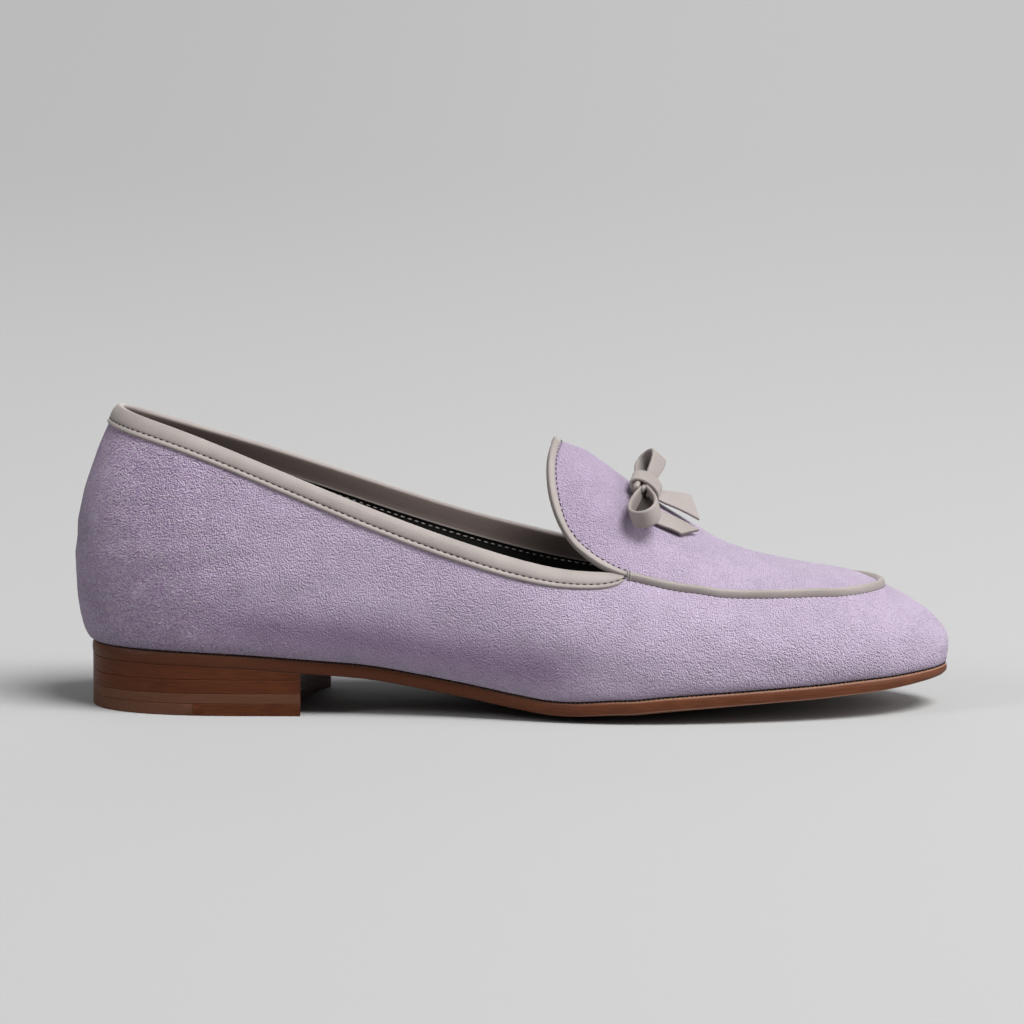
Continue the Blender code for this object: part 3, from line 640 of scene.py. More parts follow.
def once_round(side_function):
    """A line's points from the back of the heel along the lateral side to the toe and back."""
    return np.vstack([side_function("lateral"), side_function("medial")[-2:0:-1]])


def seam_stations(steps):
    return np.arange(THROAT_ROW * steps, (ROUND - THROAT_ROW) * steps + 1)


def lines_round_shoe(steps):
    """Foot, girth and head lines at a whole number of steps between sections."""
    girth = once_round(girth_side)
    chord = np.linalg.norm(np.roll(girth, -1, axis=0) - girth, axis=1)
    knots = np.concatenate([[0], np.cumsum(chord)])
    where = (knots[:-1, None] + np.diff(knots)[:, None] * np.arange(steps) / steps).ravel()
    sides = (foot_side, girth_side, head_side)
    foot, girth, head = [closed_spline(knots, once_round(side), where) for side in sides]
    foot[:, 2] = sole_underside(foot[:, 0], 1.0) + SOLE_THICKNESS + GAP
    seam = seam_stations(steps)
    head[seam, 2] = apron_height(head[seam, 0], head[seam, 1])
    return foot, girth, head


lines = lines_round_shoe(FINE)
print("stations round the shoe:", len(lines[0]))

# %% Surfaces of the upper


def wall_surface(lines, level):
    """Side wall from the feather line, at level 0, over the girth line to the head line, at level 1."""
    foot, girth, head = lines
    turn = np.clip(level / GIRTH_LEVEL, 0, 1) * math.pi / 2
    lean = np.clip((level - GIRTH_LEVEL) / (1 - GIRTH_LEVEL), 0, 1)
    out, sink = np.sin(turn) ** TURN_IN, np.maximum(np.cos(turn), 0) ** TURN_IN
    points = girth + (foot - girth) * np.array([1, 1, 0]) * (1 - out)
    points = points + (foot - girth) * np.array([0, 0, 1]) * sink
    points = points + (head - girth) * np.array([1, 1, 0]) * lean**LEAN_IN
    return points + (head - girth) * np.array([0, 0, 1]) * lean


def tongue_edge(turn, lateral_throat, medial_throat):
    """Free edge of the tongue; turn runs from 0 at the lateral throat to pi at the medial one."""
    medial_share = (1 - np.cos(turn)) / 2
    throat_x = lateral_throat[0] + (medial_throat[0] - lateral_throat[0]) * medial_share
    half = np.where(turn < math.pi / 2, -lateral_throat[1], medial_throat[1])
    flare = TONGUE_FLARE * np.where(turn < math.pi / 2, 1, MEDIAL_FLARE_SHARE)
    reach = TONGUE_LENGTH * np.sin(turn) ** TONGUE_FULLNESS
    lobes = flare * np.abs(np.sin(2 * turn)) ** TONGUE_LOBE
    x = throat_x - reach - lobes
    y = -half * np.cos(turn)
    return np.column_stack([x, y, apron_height(x, y)])


def apron_surface(head, steps):
    """Apron and tongue as a grid of ribs from the toe end of the seam back to the tongue's top edge."""
    lateral_toe, medial_toe = TOE_ROW * steps, (ROUND - TOE_ROW) * steps
    lateral_throat, medial_throat = THROAT_ROW * steps, (ROUND - THROAT_ROW) * steps
    throats = head[lateral_throat], head[medial_throat]
    first = head[lateral_toe : medial_toe + 1]
    last = tongue_edge(np.linspace(TONGUE_CORNER, math.pi - TONGUE_CORNER, len(first)), *throats)
    rise = np.linspace(0, TONGUE_CORNER, 3 * steps)[1:]
    lateral = np.vstack([head[lateral_throat : lateral_toe + 1][::-1], tongue_edge(rise, *throats)])
    medial = np.vstack([head[medial_toe : medial_throat + 1], tongue_edge(math.pi - rise, *throats)])
    u = np.linspace(0, 1, len(first))[None, :, None]
    v = np.linspace(0, 1, len(lateral))[:, None, None]
    grid = (1 - v) * first[None] + v * last[None] + (1 - u) * lateral[:, None] + u * medial[:, None]
    grid -= (1 - v) * ((1 - u) * first[0] + u * first[-1]) + v * ((1 - u) * last[0] + u * last[-1])
    grid[..., 2] = apron_height(grid[..., 0], grid[..., 1])
    return grid


def below_head(picked, depth):
    """The wall's outer surface at a depth below the head line, measured along the surface."""
    rise = (picked[2] - picked[1]) * np.array([LEAN_IN, LEAN_IN, 1])
    fall = depth / np.linalg.norm(rise, axis=1)
    return wall_surface(picked, (1 - (1 - GIRTH_LEVEL) * fall)[:, None])


PROBE = 0.0001


def inside_apron(edge, depth):
    """Points on the apron at a distance inside a line on it, measured along the surface."""
    along = np.gradient(edge, axis=0)
    inwards = unit(np.column_stack([along[:, 1], -along[:, 0]]))
    probe = edge[:, :2] + inwards * PROBE
    rise = apron_height(probe[:, 0], probe[:, 1]) - apron_height(edge[:, 0], edge[:, 1])
    plan = edge[:, :2] + inwards * (depth / np.hypot(1, rise / PROBE))[:, None]
    return np.column_stack([plan, apron_height(plan[:, 0], plan[:, 1])])


print("apron grid:", apron_surface(lines[2], FINE).shape[:2])

# %% [markdown]
# ## Mesh helpers
# Every piece is a grid of points: a wall, a strip or a ring swept along a path. `make_piece` turns such
# points into a mesh with merged seams and outward faces, and hangs it on the frame in place of its solid.

# %% Pieces from grids
MERGE_DISTANCE = 1e-6


def grid_faces(rows, columns, closed_rows=False, closed_columns=False):
    faces = []
    for r in range(rows if closed_rows else rows - 1):
        for c in range(columns if closed_columns else columns - 1):
            here, below = r * columns, (r + 1) % rows * columns
            beside = (c + 1) % columns
            faces.append((here + c, here + beside, below + beside, below + c))
    return faces


def clean(mesh):
    shape = bmesh.new()
    shape.from_mesh(mesh)
    bmesh.ops.remove_doubles(shape, verts=shape.verts, dist=MERGE_DISTANCE)
    bmesh.ops.dissolve_degenerate(shape, edges=shape.edges, dist=MERGE_DISTANCE)
    bmesh.ops.recalc_face_normals(shape, faces=shape.faces)
    shape.to_mesh(mesh)
    shape.free()


def make_piece(name, points, faces, material, nodes=(), edge=None, sharp=35):
    """One piece of the shoe: it rides on the shoe's body and stands for the named solids."""
    mesh = bpy.data.meshes.new(name)
    mesh.from_pydata([tuple(p) for p in points], [], faces)
    if edge is not None:
        mesh.attributes.new("edge", "FLOAT", "POINT").data.foreach_set("value", np.float32(edge).ravel())
    clean(mesh)
    mesh.shade_smooth()
    mesh.set_sharp_from_angle(angle=math.radians(sharp))
    mesh.materials.append(material)
    piece = bpy.data.objects.new(name, mesh)
    bpy.context.scene.collection.objects.link(piece)
    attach(piece, "root")
    if nodes:
        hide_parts(*nodes)
    return piece


def sweep(name, rings, material, nodes=(), closed=False, edge=None, sharp=35):
    """A solid through rings of equally many points, capped at both ends unless it closes on itself."""
    rings = np.asarray(rings)
    count, corners = rings.shape[:2]
    faces = grid_faces(count, corners, closed_rows=closed, closed_columns=True)
    if not closed:
        faces.append(tuple(range(corners))[::-1])
        faces.append(tuple(range((count - 1) * corners, count * corners)))
    return make_piece(name, rings.reshape(-1, 3), faces, material, nodes, edge, sharp)


print("helpers ready")

# %% [markdown]
# ## The upper and its lining
# The upper is one skin of suede, pulled over the last and open at the collar and underneath, with a thin
# black lining behind it. Both are the same surface: the suede starts at the outside and the lining a
# millimetre further in, and a Solidify modifier gives each its thickness. Real lasting is never quite even,
# so the walls get very shallow swells between the girth and the collar. Painted shade darkens the suede in a
# band low on the quarters and along the feather line, and the tongue is darker towards its top edge.

# %% Suede and lining
SUEDE_THICKNESS, LINING_THICKNESS, LINING_GAP = 0.0010, 0.0007, 0.0001
WALL_LEVELS, LEVEL_STEP = np.linspace(0, 1, 31), 0.02
SWELL = 0.00028
APRON_DOME, DOME_X, DOME_LENGTH, DOME_RISE = 0.0010, 0.0985, 0.011, 0.0018
# painted shade: a band up the wall with its ends along the shoe, and at the feather line; then the darker
# tongue
SHADE_BAND_HEIGHT, SHADE_BAND_WIDTH = 0.0095, 0.006
SHADE_BAND_ENDS, SHADE_BAND_SHARES = (-0.108, -0.070, 0.008, 0.028), (0, 1, 1, 0)
FEATHER_SHADE, FEATHER_WIDTH = 0.35, 0.003
TONGUE_SHADE, TONGUE_SHADE_X, TONGUE_SHADE_LENGTH = 0.25, 0.060, 0.035


def painted_low_shade(wall, height):
    """Painted shade: a band low on the quarters, and the feather line of the forepart."""
    quarters = np.interp(wall[:, 0], SHADE_BAND_ENDS, SHADE_BAND_SHARES)
    band = np.exp(-(((height - SHADE_BAND_HEIGHT) / SHADE_BAND_WIDTH) ** 2))
    feather = FEATHER_SHADE * np.exp(-((height / FEATHER_WIDTH) ** 2))
    return quarters * band + (1 - quarters) * feather


def swells(points):
    """Shallow unevenness along the surface normal: long crossing waves, in radians to the metre."""
    x, y, z = points.T
    wave = np.sin(x * 95 + 9 * np.sin(z * 60)) * np.sin(z * 130 + x * 22 + 1.3)
    return SWELL * (wave + 0.6 * np.sin(x * 210 - z * 90 + 0.7))


def swelled_wall(level):
    points = wall_surface(lines, level)
    along = np.roll(points, -1, axis=0) - np.roll(points, 1, axis=0)
    above, below = min(level + LEVEL_STEP, 1), max(level - LEVEL_STEP, 0)
    rise = wall_surface(lines, above) - wall_surface(lines, below)
    fade = np.sin(math.pi * level) ** 2
    return points + unit(np.cross(along, rise)) * (swells(points) * fade)[:, None]


def domed_apron():
    """The apron, a little fuller at its toe end, where it hides the far piping."""
    apron = apron_surface(lines[2], FINE)
    over_seam = np.clip((apron[..., 2] - lines[2][TOE_ROW * FINE, 2]) / DOME_RISE, 0, 1)
    here = np.exp(-(((apron[..., 0] - DOME_X) / DOME_LENGTH) ** 2))
    apron[..., 2] += APRON_DOME * here * over_seam * (2 - over_seam)
    return apron


def upper_skin():
    """Points and faces of the upper's outer surface, and how much each point is darkened: painted shade on
    the walls, a darker tongue.
    """
    walls = [swelled_wall(level) for level in WALL_LEVELS]
    faces = grid_faces(len(walls), len(walls[0]), closed_columns=True)
    low = [painted_low_shade(wall, np.linalg.norm(wall - walls[0], axis=1)) for wall in walls]
    points = np.vstack(walls)
    apron = domed_apron()
    faces += [tuple(len(points) + corner for corner in face) for face in grid_faces(*apron.shape[:2])]
    up_tongue = np.clip((TONGUE_SHADE_X - apron[..., 0].ravel()) / TONGUE_SHADE_LENGTH, 0, 1)
    low.append(TONGUE_SHADE * up_tongue)
    return np.vstack([points, apron.reshape(-1, 3)]), faces, np.concatenate(low)


def thicken(piece, thickness):
    shell = piece.modifiers.new("thickness", "SOLIDIFY")
    shell.thickness = thickness
    shell.offset = -1
    return piece


def moved_inwards(piece, depth):
    normals = [vertex.normal.copy() for vertex in piece.data.vertices]
    for vertex, normal in zip(piece.data.vertices, normals):
        vertex.co -= normal * depth
    return piece


# the upper's attribute `edge`: painted shade low on the quarters and at the feather line, and the darker
# tongue
skin_points, skin_faces, skin_darkening = upper_skin()
upper = make_piece("suede_upper", skin_points, skin_faces, suede, ["upper"], edge=skin_darkening, sharp=60)
thicken(upper, SUEDE_THICKNESS)
lining = make_piece("lining", skin_points, skin_faces, black_lining, sharp=60)
thicken(moved_inwards(lining, SUEDE_THICKNESS + LINING_GAP), LINING_THICKNESS)
print("upper:", len(upper.data.polygons), "faces")

# %% [markdown]
# ## Sole and sock
# The sole is one plate of leather a few millimetres thick that bends over the arch and springs up at the
# toe, where it is thinner and rounder below. Its edge is trimmed and rounded, so it is built as rings: the
# underside out from the middle, round the edge, and back over the top. The sock is the black leather sheet
# that the foot stands on.

# %% Plates
EDGE_ROUND, LOWER_ROUND_SHARE, EDGE_FULLNESS, EDGE_STEPS, RIM_SHARE = 0.0012, 0.35, 0.7, 13, 0.97
TOE_START, TOE_ROUND, TOE_LIFT = 0.104, 0.0022, 0.0009


def offset_outline(line, distance):
    """A plan outline moved outwards by a distance."""
    along = np.roll(line, -1, axis=0) - np.roll(line, 1, axis=0)
    outwards = unit(np.column_stack([along[:, 1], -along[:, 0]]))
    moved = line.copy()
    moved[:, :2] += np.reshape(distance, (-1, 1)) * outwards
    return moved


def spoke_ring(outline, share):
    """A ring part of the way from the sole's spine to an outline, in plan."""
    half = len(outline) // 2
    along = np.concatenate([np.arange(half + 1), np.arange(half - 1, 0, -1)]) / half
    ease = (1 - np.cos(math.pi * along)) / 2
    spine = np.column_stack([SPINE_HEEL + (SPINE_TOE - SPINE_HEEL) * ease, np.zeros(len(outline))])
    return spine + (outline[:, :2] - spine) * share


def toe_share(x):
    """How far the edge's toe rounding has grown, from 0 at its start to 1 at the tip."""
    return np.clip((x - TOE_START) / (LENGTH / 2 - TOE_START), 0, 1)


def make_plate(name, outline, lift, thickness, material, nodes):
    """A bent plate with a rounded edge, thinner and rounder below at the toe; lift is the height of its
    underside over the sole's."""
    flat, rising = np.linspace(0, SOLE_FLAT_SHARE, 3), np.linspace(SOLE_FLAT_SHARE, RIM_SHARE, 9)
    shares = np.concatenate([flat, rising[1:]])
    rows, edge = [], []
    lower_round = EDGE_ROUND * LOWER_ROUND_SHARE + TOE_ROUND * toe_share(outline[:, 0]) ** 2
    under = offset_outline(outline, -lower_round)

    def add(plan, share, height, mark):
        thinned = TOE_LIFT * toe_share(plan[:, 0]) * (1 - height)
        z = sole_underside(plan[:, 0], share) + lift + thickness * height + thinned
        rows.append(np.column_stack([plan, z]))
        edge.append(np.full(len(plan), mark))

    for share in shares:
        add(spoke_ring(under, share), share, 0, 0)
    for turn in np.linspace(-math.pi / 2, math.pi / 2, EDGE_STEPS):
        deepest = EDGE_ROUND if turn > 0 else lower_round
        inset = deepest * (1 - math.cos(turn) ** EDGE_FULLNESS)
        height = 0.5 + 0.5 * math.sin(turn)
        add(offset_outline(outline, -inset)[:, :2], 1.0, height, height)
    for share in shares[::-1]:
        add(spoke_ring(outline, share), share, 1, 0)
    faces = grid_faces(len(rows), len(outline), closed_columns=True)
    return make_piece(name, np.vstack(rows), faces, material, nodes, edge=np.concatenate(edge))


foot = lines[0]
sole_rim, sock_rim = offset_outline(foot, SOLE_MARGIN), offset_outline(foot, -(WALL + GAP / 2))
sock_lift = SOLE_THICKNESS + 2 * GAP
sole = make_plate("leather_outsole", sole_rim, 0, SOLE_THICKNESS, sole_leather, ["outsole"])
sock = make_plate("sock", sock_rim, sock_lift, INSOLE_THICKNESS, black_lining, ["insole"])
print("sole:", len(sole.data.polygons), "faces, sock:", len(sock.data.polygons))

# %% [markdown]
# ## Stacked heel
# A leather heel is a pile of lifts, nailed, trimmed and waxed as one. Each lift is a slice with the same
# outline, round behind and hollow at the breast. The arrises are eased by a hair so that the joints between
# lifts show as fine lines, and the bottom slice is split: leather in front, rubber behind.

# %% Heel
TOP_PIECE, TOP_PIECE_SPLIT_X = 0.0034, -0.0938
# lifts from the top piece up: thickness and finish
HEEL_LIFTS = {"heel_lift_lower": (0.0027, heel_board), "heel_lift_middle": (0.0038, heel_leather)}
BREAST_LATERAL_X, BREAST_MEDIAL_X, BREAST_HOLLOW, BREAST_STEPS = -0.0622, -0.0552, 0.0048, 41
HEEL_TAPER, ARRIS, SPLIT_GAP, SEAT_GAP = 0.0002, 0.00018, 0.0001, 0.00002


def heel_plan(outline, taper):
    """Heel outline from the sole's: round the back, then across the hollow breast."""
    rim = offset_outline(outline, -taper)
    half = len(rim) // 2
    lateral = [p[:2] for p in rim[:half] if p[0] < BREAST_LATERAL_X]
    medial = [p[:2] for p in rim[half:] if p[0] < BREAST_MEDIAL_X]
    lateral_y = np.interp(BREAST_LATERAL_X, rim[:half, 0], rim[:half, 1])
    medial_y = np.interp(BREAST_MEDIAL_X, rim[half:][::-1, 0], rim[half:][::-1, 1])
    share = np.linspace(0, 1, BREAST_STEPS)
    breast_x = BREAST_LATERAL_X + (BREAST_MEDIAL_X - BREAST_LATERAL_X) * share
    breast_x -= BREAST_HOLLOW * 4 * share * (1 - share)
    breast_y = lateral_y + (medial_y - lateral_y) * share
    return np.vstack([lateral, np.column_stack([breast_x, breast_y]), medial])


def split_plan(plan, x, keep_rear):
    """The part of a closed plan behind or before a line across it."""
    kept = []
    for here, following in zip(plan, np.roll(plan, -1, axis=0)):
        if (here[0] < x) == keep_rear:
            kept.append(here)
        if (here[0] < x) != (following[0] < x):
            share = (x - here[0]) / (following[0] - here[0])
            kept.append(here + (following - here) * share)
    return np.array(kept)


def make_lift(name, plan, low, high, material, node):
    """A slice of the heel with eased arrises, between two heights that are functions of x."""
    eased = offset_outline(np.column_stack([plan, np.zeros(len(plan))]), -ARRIS)[:, :2]
    rings, edge = [], []
    # outline, share of the height, step off the arris, wear
    for outline, at, step, wear in (
        (eased, 0, 0, 1.0),
        (plan, 0, ARRIS, 0.95),
        (plan, 0.5, 0, 0.0),
        (plan, 1, -ARRIS, 0.95),
        (eased, 1, 0, 1.0),
    ):
        bottom, top = low(outline[:, 0]), high(outline[:, 0])
        rings.append(np.column_stack([outline, bottom + (top - bottom) * at + step]))
        edge.append(np.full(len(outline), wear))
    return sweep(name, rings, material, [node], edge=np.concatenate(edge))


def level(z):
    """A flat height, as a function of x."""
    return lambda x: np.full(len(x), z)


def heel_seat(x):
    return sole_underside(x, 1.0) - SEAT_GAP


def make_heel():
    plan = heel_plan(sole_rim, HEEL_TAPER)
    rear = split_plan(plan, TOP_PIECE_SPLIT_X - SPLIT_GAP / 2, True)
    front = split_plan(plan, TOP_PIECE_SPLIT_X + SPLIT_GAP / 2, False)
    floor, joint = level(0), TOP_PIECE + GAP / 2
    make_lift("rubber_top_piece", rear, floor, level(joint), heel_rubber, "heel_top_rear")
    make_lift("leather_top_piece", front, floor, level(joint), heel_leather, "heel_top_front")
    for node, (thickness, finish) in HEEL_LIFTS.items():
        top = joint + thickness + GAP
        make_lift(node + "_leather", plan, level(joint), level(top), finish, node)
        joint = top
    node = "heel_lift_upper"
    make_lift(node + "_leather", plan, level(joint), heel_seat, heel_leather, node)
    return len(plan)


print("heel outline points:", make_heel())

# %% [markdown]
# ## Folded leather bindings
# A binding is a strip of thin leather folded over a raw edge and sewn through. Seen across, it is a channel:
# down the outside, round the crown and down the inside. The collar's binding is flat and broad, with a row of
# stitches pressed into it and a rolled lip below; the tongue's is narrow and round. One function makes both
# from lists of depths and heights, so a groove or a lip is just a dip or a bump in a list.

# %% Channel strip
CROWN_POINTS, EDGE_PROBE, SKIN_GAP = 7, 0.0015, 0.00005


def channel(surface, outer, inner, crown_rise):
    """Rings of a folded strip. surface(depth) gives points under the edge; outer and inner are lists of
    (depth, height) from the edge downwards, each an array over the stations or a number."""
    at_edge, below = surface(0.0), surface(EDGE_PROBE)
    along = np.gradient(at_edge, axis=0)
    up = unit(at_edge - below)
    normal = unit(np.cross(below - at_edge, along))
    ring = [surface(d) + normal * np.reshape(h, (-1, 1)) for d, h in outer[::-1]]
    out_height, in_height = np.reshape(outer[0][1], (-1, 1)), np.reshape(inner[0][1], (-1, 1))
    for turn in np.linspace(0, math.pi, CROWN_POINTS + 2)[1:-1]:
        reach = np.where(math.cos(turn) > 0, WALL / 2 + out_height, WALL / 2 + in_height)
        across = reach * math.cos(turn) - WALL / 2
        ring.append(at_edge + normal * across + up * (crown_rise * math.sin(turn)))
    ring += [surface(d) - normal * (WALL + np.reshape(h, (-1, 1))) for d, h in inner]
    ring.append(surface(inner[-1][0]) - normal * (WALL + SKIN_GAP))
    ring.append(at_edge - normal * (WALL + SKIN_GAP) + up * SKIN_GAP)
    ring.append(at_edge + normal * SKIN_GAP + up * SKIN_GAP)
    ring.append(surface(outer[-1][0]) + normal * SKIN_GAP)
    return np.stack(ring, axis=1), normal


print("channel ready")

# %% Collar binding
COLLAR_LEG, COLLAR_INNER_LEG = 0.0057, 0.0064
COLLAR_STITCH_ABOVE_LIP, INNER_STITCH_BELOW = 0.0016, 0.0010
COLLAR_END_SECTIONS, COLLAR_TAPER_SECTIONS = 0.02, 0.15
# least shares at the throat of outer leg, inner leg and leather, the leather's growth, the lip's most
LEG_LEAST, INNER_LEAST, LEATHER_LEAST, LEATHER_GROWTH, LIP_MOST = 0.08, 0.2, 0.35, 1.4, 0.4
LEATHER, COLLAR_CROWN = 0.0008, 0.0010
# share of the way down to the stitches, and height over the suede as a share of the leather
COLLAR_FACE = ((0, 0.55), (0.12, 0.8), (0.3, 1), (0.55, 1.05), (0.8, 0.95), (0.93, 0.7), (1, 0.45))
# the same from the stitches to the end of the lip, and down the inside
COLLAR_LIP = ((0.15, 0.65), (0.4, 0.95), (0.7, 1), (0.9, 0.85), (1, 0.3))
COLLAR_BACK = ((0, 0.3), (0.15, 0.4), (0.6, 0.45), (0.85, 0.45), (0.95, 0.6), (1, 0.2))
# how far the painted shade inside the collar has set in at the last points of the crown
CROWN_INSIDE_SHADE = (0.3, 0.6)


def collar_stations():
    """Stations along the collar from the medial throat round the heel to the lateral one, and how far each
    is from its throat, in sections."""
    end = THROAT_ROW * FINE - 1
    steps = np.arange(-end, end + 1)
    return steps % len(foot), THROAT_ROW - np.abs(steps) / FINE


collar_numbers, collar_from_throat = collar_stations()
collar_lines = [line[collar_numbers] for line in lines]
collar_grown = np.maximum(collar_from_throat - COLLAR_END_SECTIONS, 0)
collar_taper = 1 - np.exp(-collar_grown / COLLAR_TAPER_SECTIONS)
collar_leg = COLLAR_LEG * np.maximum(collar_taper, LEG_LEAST)


def collar_surface(depth):
    return below_head(collar_lines, depth + np.zeros(len(collar_numbers)))


def make_collar_binding():
    lip = np.minimum(COLLAR_STITCH_ABOVE_LIP, LIP_MOST * collar_leg)
    stitch = collar_leg - lip
    thin = np.clip(collar_taper * LEATHER_GROWTH, LEATHER_LEAST, 1) * LEATHER
    inside = COLLAR_INNER_LEG * np.maximum(collar_taper, INNER_LEAST)
    outer = [(stitch * at, thin * height) for at, height in COLLAR_FACE]
    outer += [(stitch + lip * at, thin * height) for at, height in COLLAR_LIP]
    inner = [(inside * at, thin * height) for at, height in COLLAR_BACK]
    rings, normal = channel(collar_surface, outer, inner, COLLAR_CROWN)
    # painted shade on the binding's inside, setting in over the last points of the crown
    inside_shade = np.zeros(rings.shape[:2])
    first = len(outer) + CROWN_POINTS
    inside_shade[:, first - len(CROWN_INSIDE_SHADE) : first] = CROWN_INSIDE_SHADE
    inside_shade[:, first : first + len(inner) - 2] = 1
    sweep("collar_binding_leather", rings, taupe, ["collar_binding"], edge=inside_shade, sharp=50)
    return stitch, thin, inside, normal


collar_stitch, collar_thin, collar_inside, collar_normal = make_collar_binding()
print("collar stations:", len(collar_numbers))

# %% Tongue binding
TONGUE_LEG, TONGUE_LEG_AT_SEAM, TONGUE_INNER_LEG = 0.0018, 0.0013, 0.0040
TONGUE_ROLL, TONGUE_ROLL_FOOT, TONGUE_CROWN, TONGUE_ROUND = 0.0007, 0.00012, 0.0006, 0.7
TONGUE_GROWTH, TONGUE_INNER_LEAST = 0.7, 0.25
TONGUE_END, TONGUE_TAPER, TONGUE_STEPS, TONGUE_CROWDING = 0.0006, 0.45, 241, 0.1
# share of the way down the inside, and height off the lining
TONGUE_BACK = ((0, 0.0006), (0.4, 0.0007), (0.8, 0.0006), (1, 0.0002))
seam = lines[2][seam_stations(FINE)]
tongue_share = np.linspace(0, 1, TONGUE_STEPS)
tongue_share -= TONGUE_CROWDING * np.sin(2 * math.pi * tongue_share)
tongue_turn = TONGUE_END + (math.pi - 2 * TONGUE_END) * tongue_share
tongue_line = tongue_edge(tongue_turn, seam[0], seam[-1])
tongue_from_end = np.minimum(tongue_turn, math.pi - tongue_turn)
tongue_grown = np.clip(tongue_from_end / TONGUE_TAPER, 0, 1) ** TONGUE_GROWTH
tongue_leg = TONGUE_LEG_AT_SEAM + (TONGUE_LEG - TONGUE_LEG_AT_SEAM) * tongue_grown


def tongue_surface(depth):
    return inside_apron(tongue_line, depth)


def make_tongue_binding():
    outer = []
    for turn in np.linspace(0, math.pi / 2, 9):
        height = TONGUE_ROLL_FOOT + TONGUE_ROLL * math.cos(turn) ** TONGUE_ROUND
        outer.append((tongue_leg * math.sin(turn), height))
    inside = TONGUE_INNER_LEG * (TONGUE_INNER_LEAST + (1 - TONGUE_INNER_LEAST) * tongue_grown)
    inner = [(inside * at, height) for at, height in TONGUE_BACK]
    rings, normal = channel(tongue_surface, outer, inner, TONGUE_CROWN)
    sweep("tongue_binding_leather", rings, taupe, ["tongue_binding"], sharp=50)
    return normal


tongue_normal = make_tongue_binding()
print("tongue stations:", len(tongue_line))

# %% [markdown]
# ## Apron piping
# The seam between apron and wall is covered by a round piping, a cord wrapped in the same taupe leather. A
# bevelled curve would make the roll, but it would not lie on both surfaces; here each ring spans from a point
# on the wall to a point on the apron and bulges out between them.

# %% Piping
PIPING_WIDTH, PIPING_HEIGHT, PIPING_FULLNESS = 0.0030, 0.0017, 0.75
PIPING_POINTS, PIPING_SUNK = 15, 0.0004
TACK_SHIFTS, TACK_RADIUS, TACK_SIDE = (-0.0004, 0.0004), 0.00016, (0.3, 0.2, 0.9)


def piping_section(apron_side, wall_side, middle, normal, grow=0.0):
    """Points over the piping from its apron side to its wall side, grown outwards by a length."""
    points = [apron_side - normal * PIPING_SUNK]
    for share in np.linspace(0, 1, PIPING_POINTS):
        round_off = math.sin(math.pi * share)
        across = apron_side + (wall_side - apron_side) * share
        bulge = (middle - (wall_side + apron_side) / 2) * round_off
        points.append(across + bulge + normal * (PIPING_HEIGHT * round_off**PIPING_FULLNESS + grow))
    points.append(wall_side - normal * PIPING_SUNK)
    return points


def tube(name, path, radius, material):
    """A thread along a short path."""
    along = unit(np.gradient(path, axis=0))
    side = unit(np.cross(along, TACK_SIDE))
    turns = np.linspace(0, 2 * math.pi, 8, endpoint=False)
    circle = [side * math.cos(t) + np.cross(along, side) * math.sin(t) for t in turns]
    rings = np.stack([path + radius * spoke for spoke in circle], axis=1)
    return sweep(name, rings, material)


def make_piping():
    numbers = seam_stations(FINE)
    picked = [line[numbers] for line in lines]
    middle = picked[2]
    wall_side = below_head(picked, np.full(len(middle), PIPING_WIDTH / 2))
    apron_side = inside_apron(middle[::-1], PIPING_WIDTH / 2)[::-1]
    along = unit(np.gradient(middle, axis=0))
    normal = unit(np.cross(along, wall_side - apron_side))
    normal *= np.sign(normal[:, 2:3])
    ring = piping_section(apron_side, wall_side, middle, normal)
    sweep("apron_piping_leather", np.stack(ring, axis=1), taupe, ["apron_piping"], sharp=60)
    for name, end in (("lateral", 0), ("medial", -1)):
        spots = [part[end] for part in (apron_side, wall_side, middle, normal)]
        over = np.array(piping_section(*spots, grow=TACK_RADIUS / 2)[1:-1])
        for number, shift in enumerate(TACK_SHIFTS):
            tube(f"throat_tack_{name}_{number}", over + along[end] * shift, TACK_RADIUS, pale_thread)
    return wall_side, apron_side, normal


piping_foot, piping_top, piping_normal = make_piping()
print("piping stations:", len(piping_foot))

# %% [markdown]
# ## Stitches
# Thread shows as rows of short rounded bars: along the collar's binding, on the suede beside the tongue's
# binding, beside the piping, and in the crease where upper meets sole. The rows are dark but for one inside
# the collar, where pale thread runs on the lining; its paleness is partly the thread's and partly a painted
# highlight on the inner band's lower edge. Placing hundreds of bars by hand would be dull, so a Geometry
# Nodes tree walks along a path, drops a bar at each step and turns it along the path.

# %% Stitch tree
STITCH_TREE_INPUTS = {"Spacing": 0.002, "Length": 0.0012, "Thickness": 0.0004}


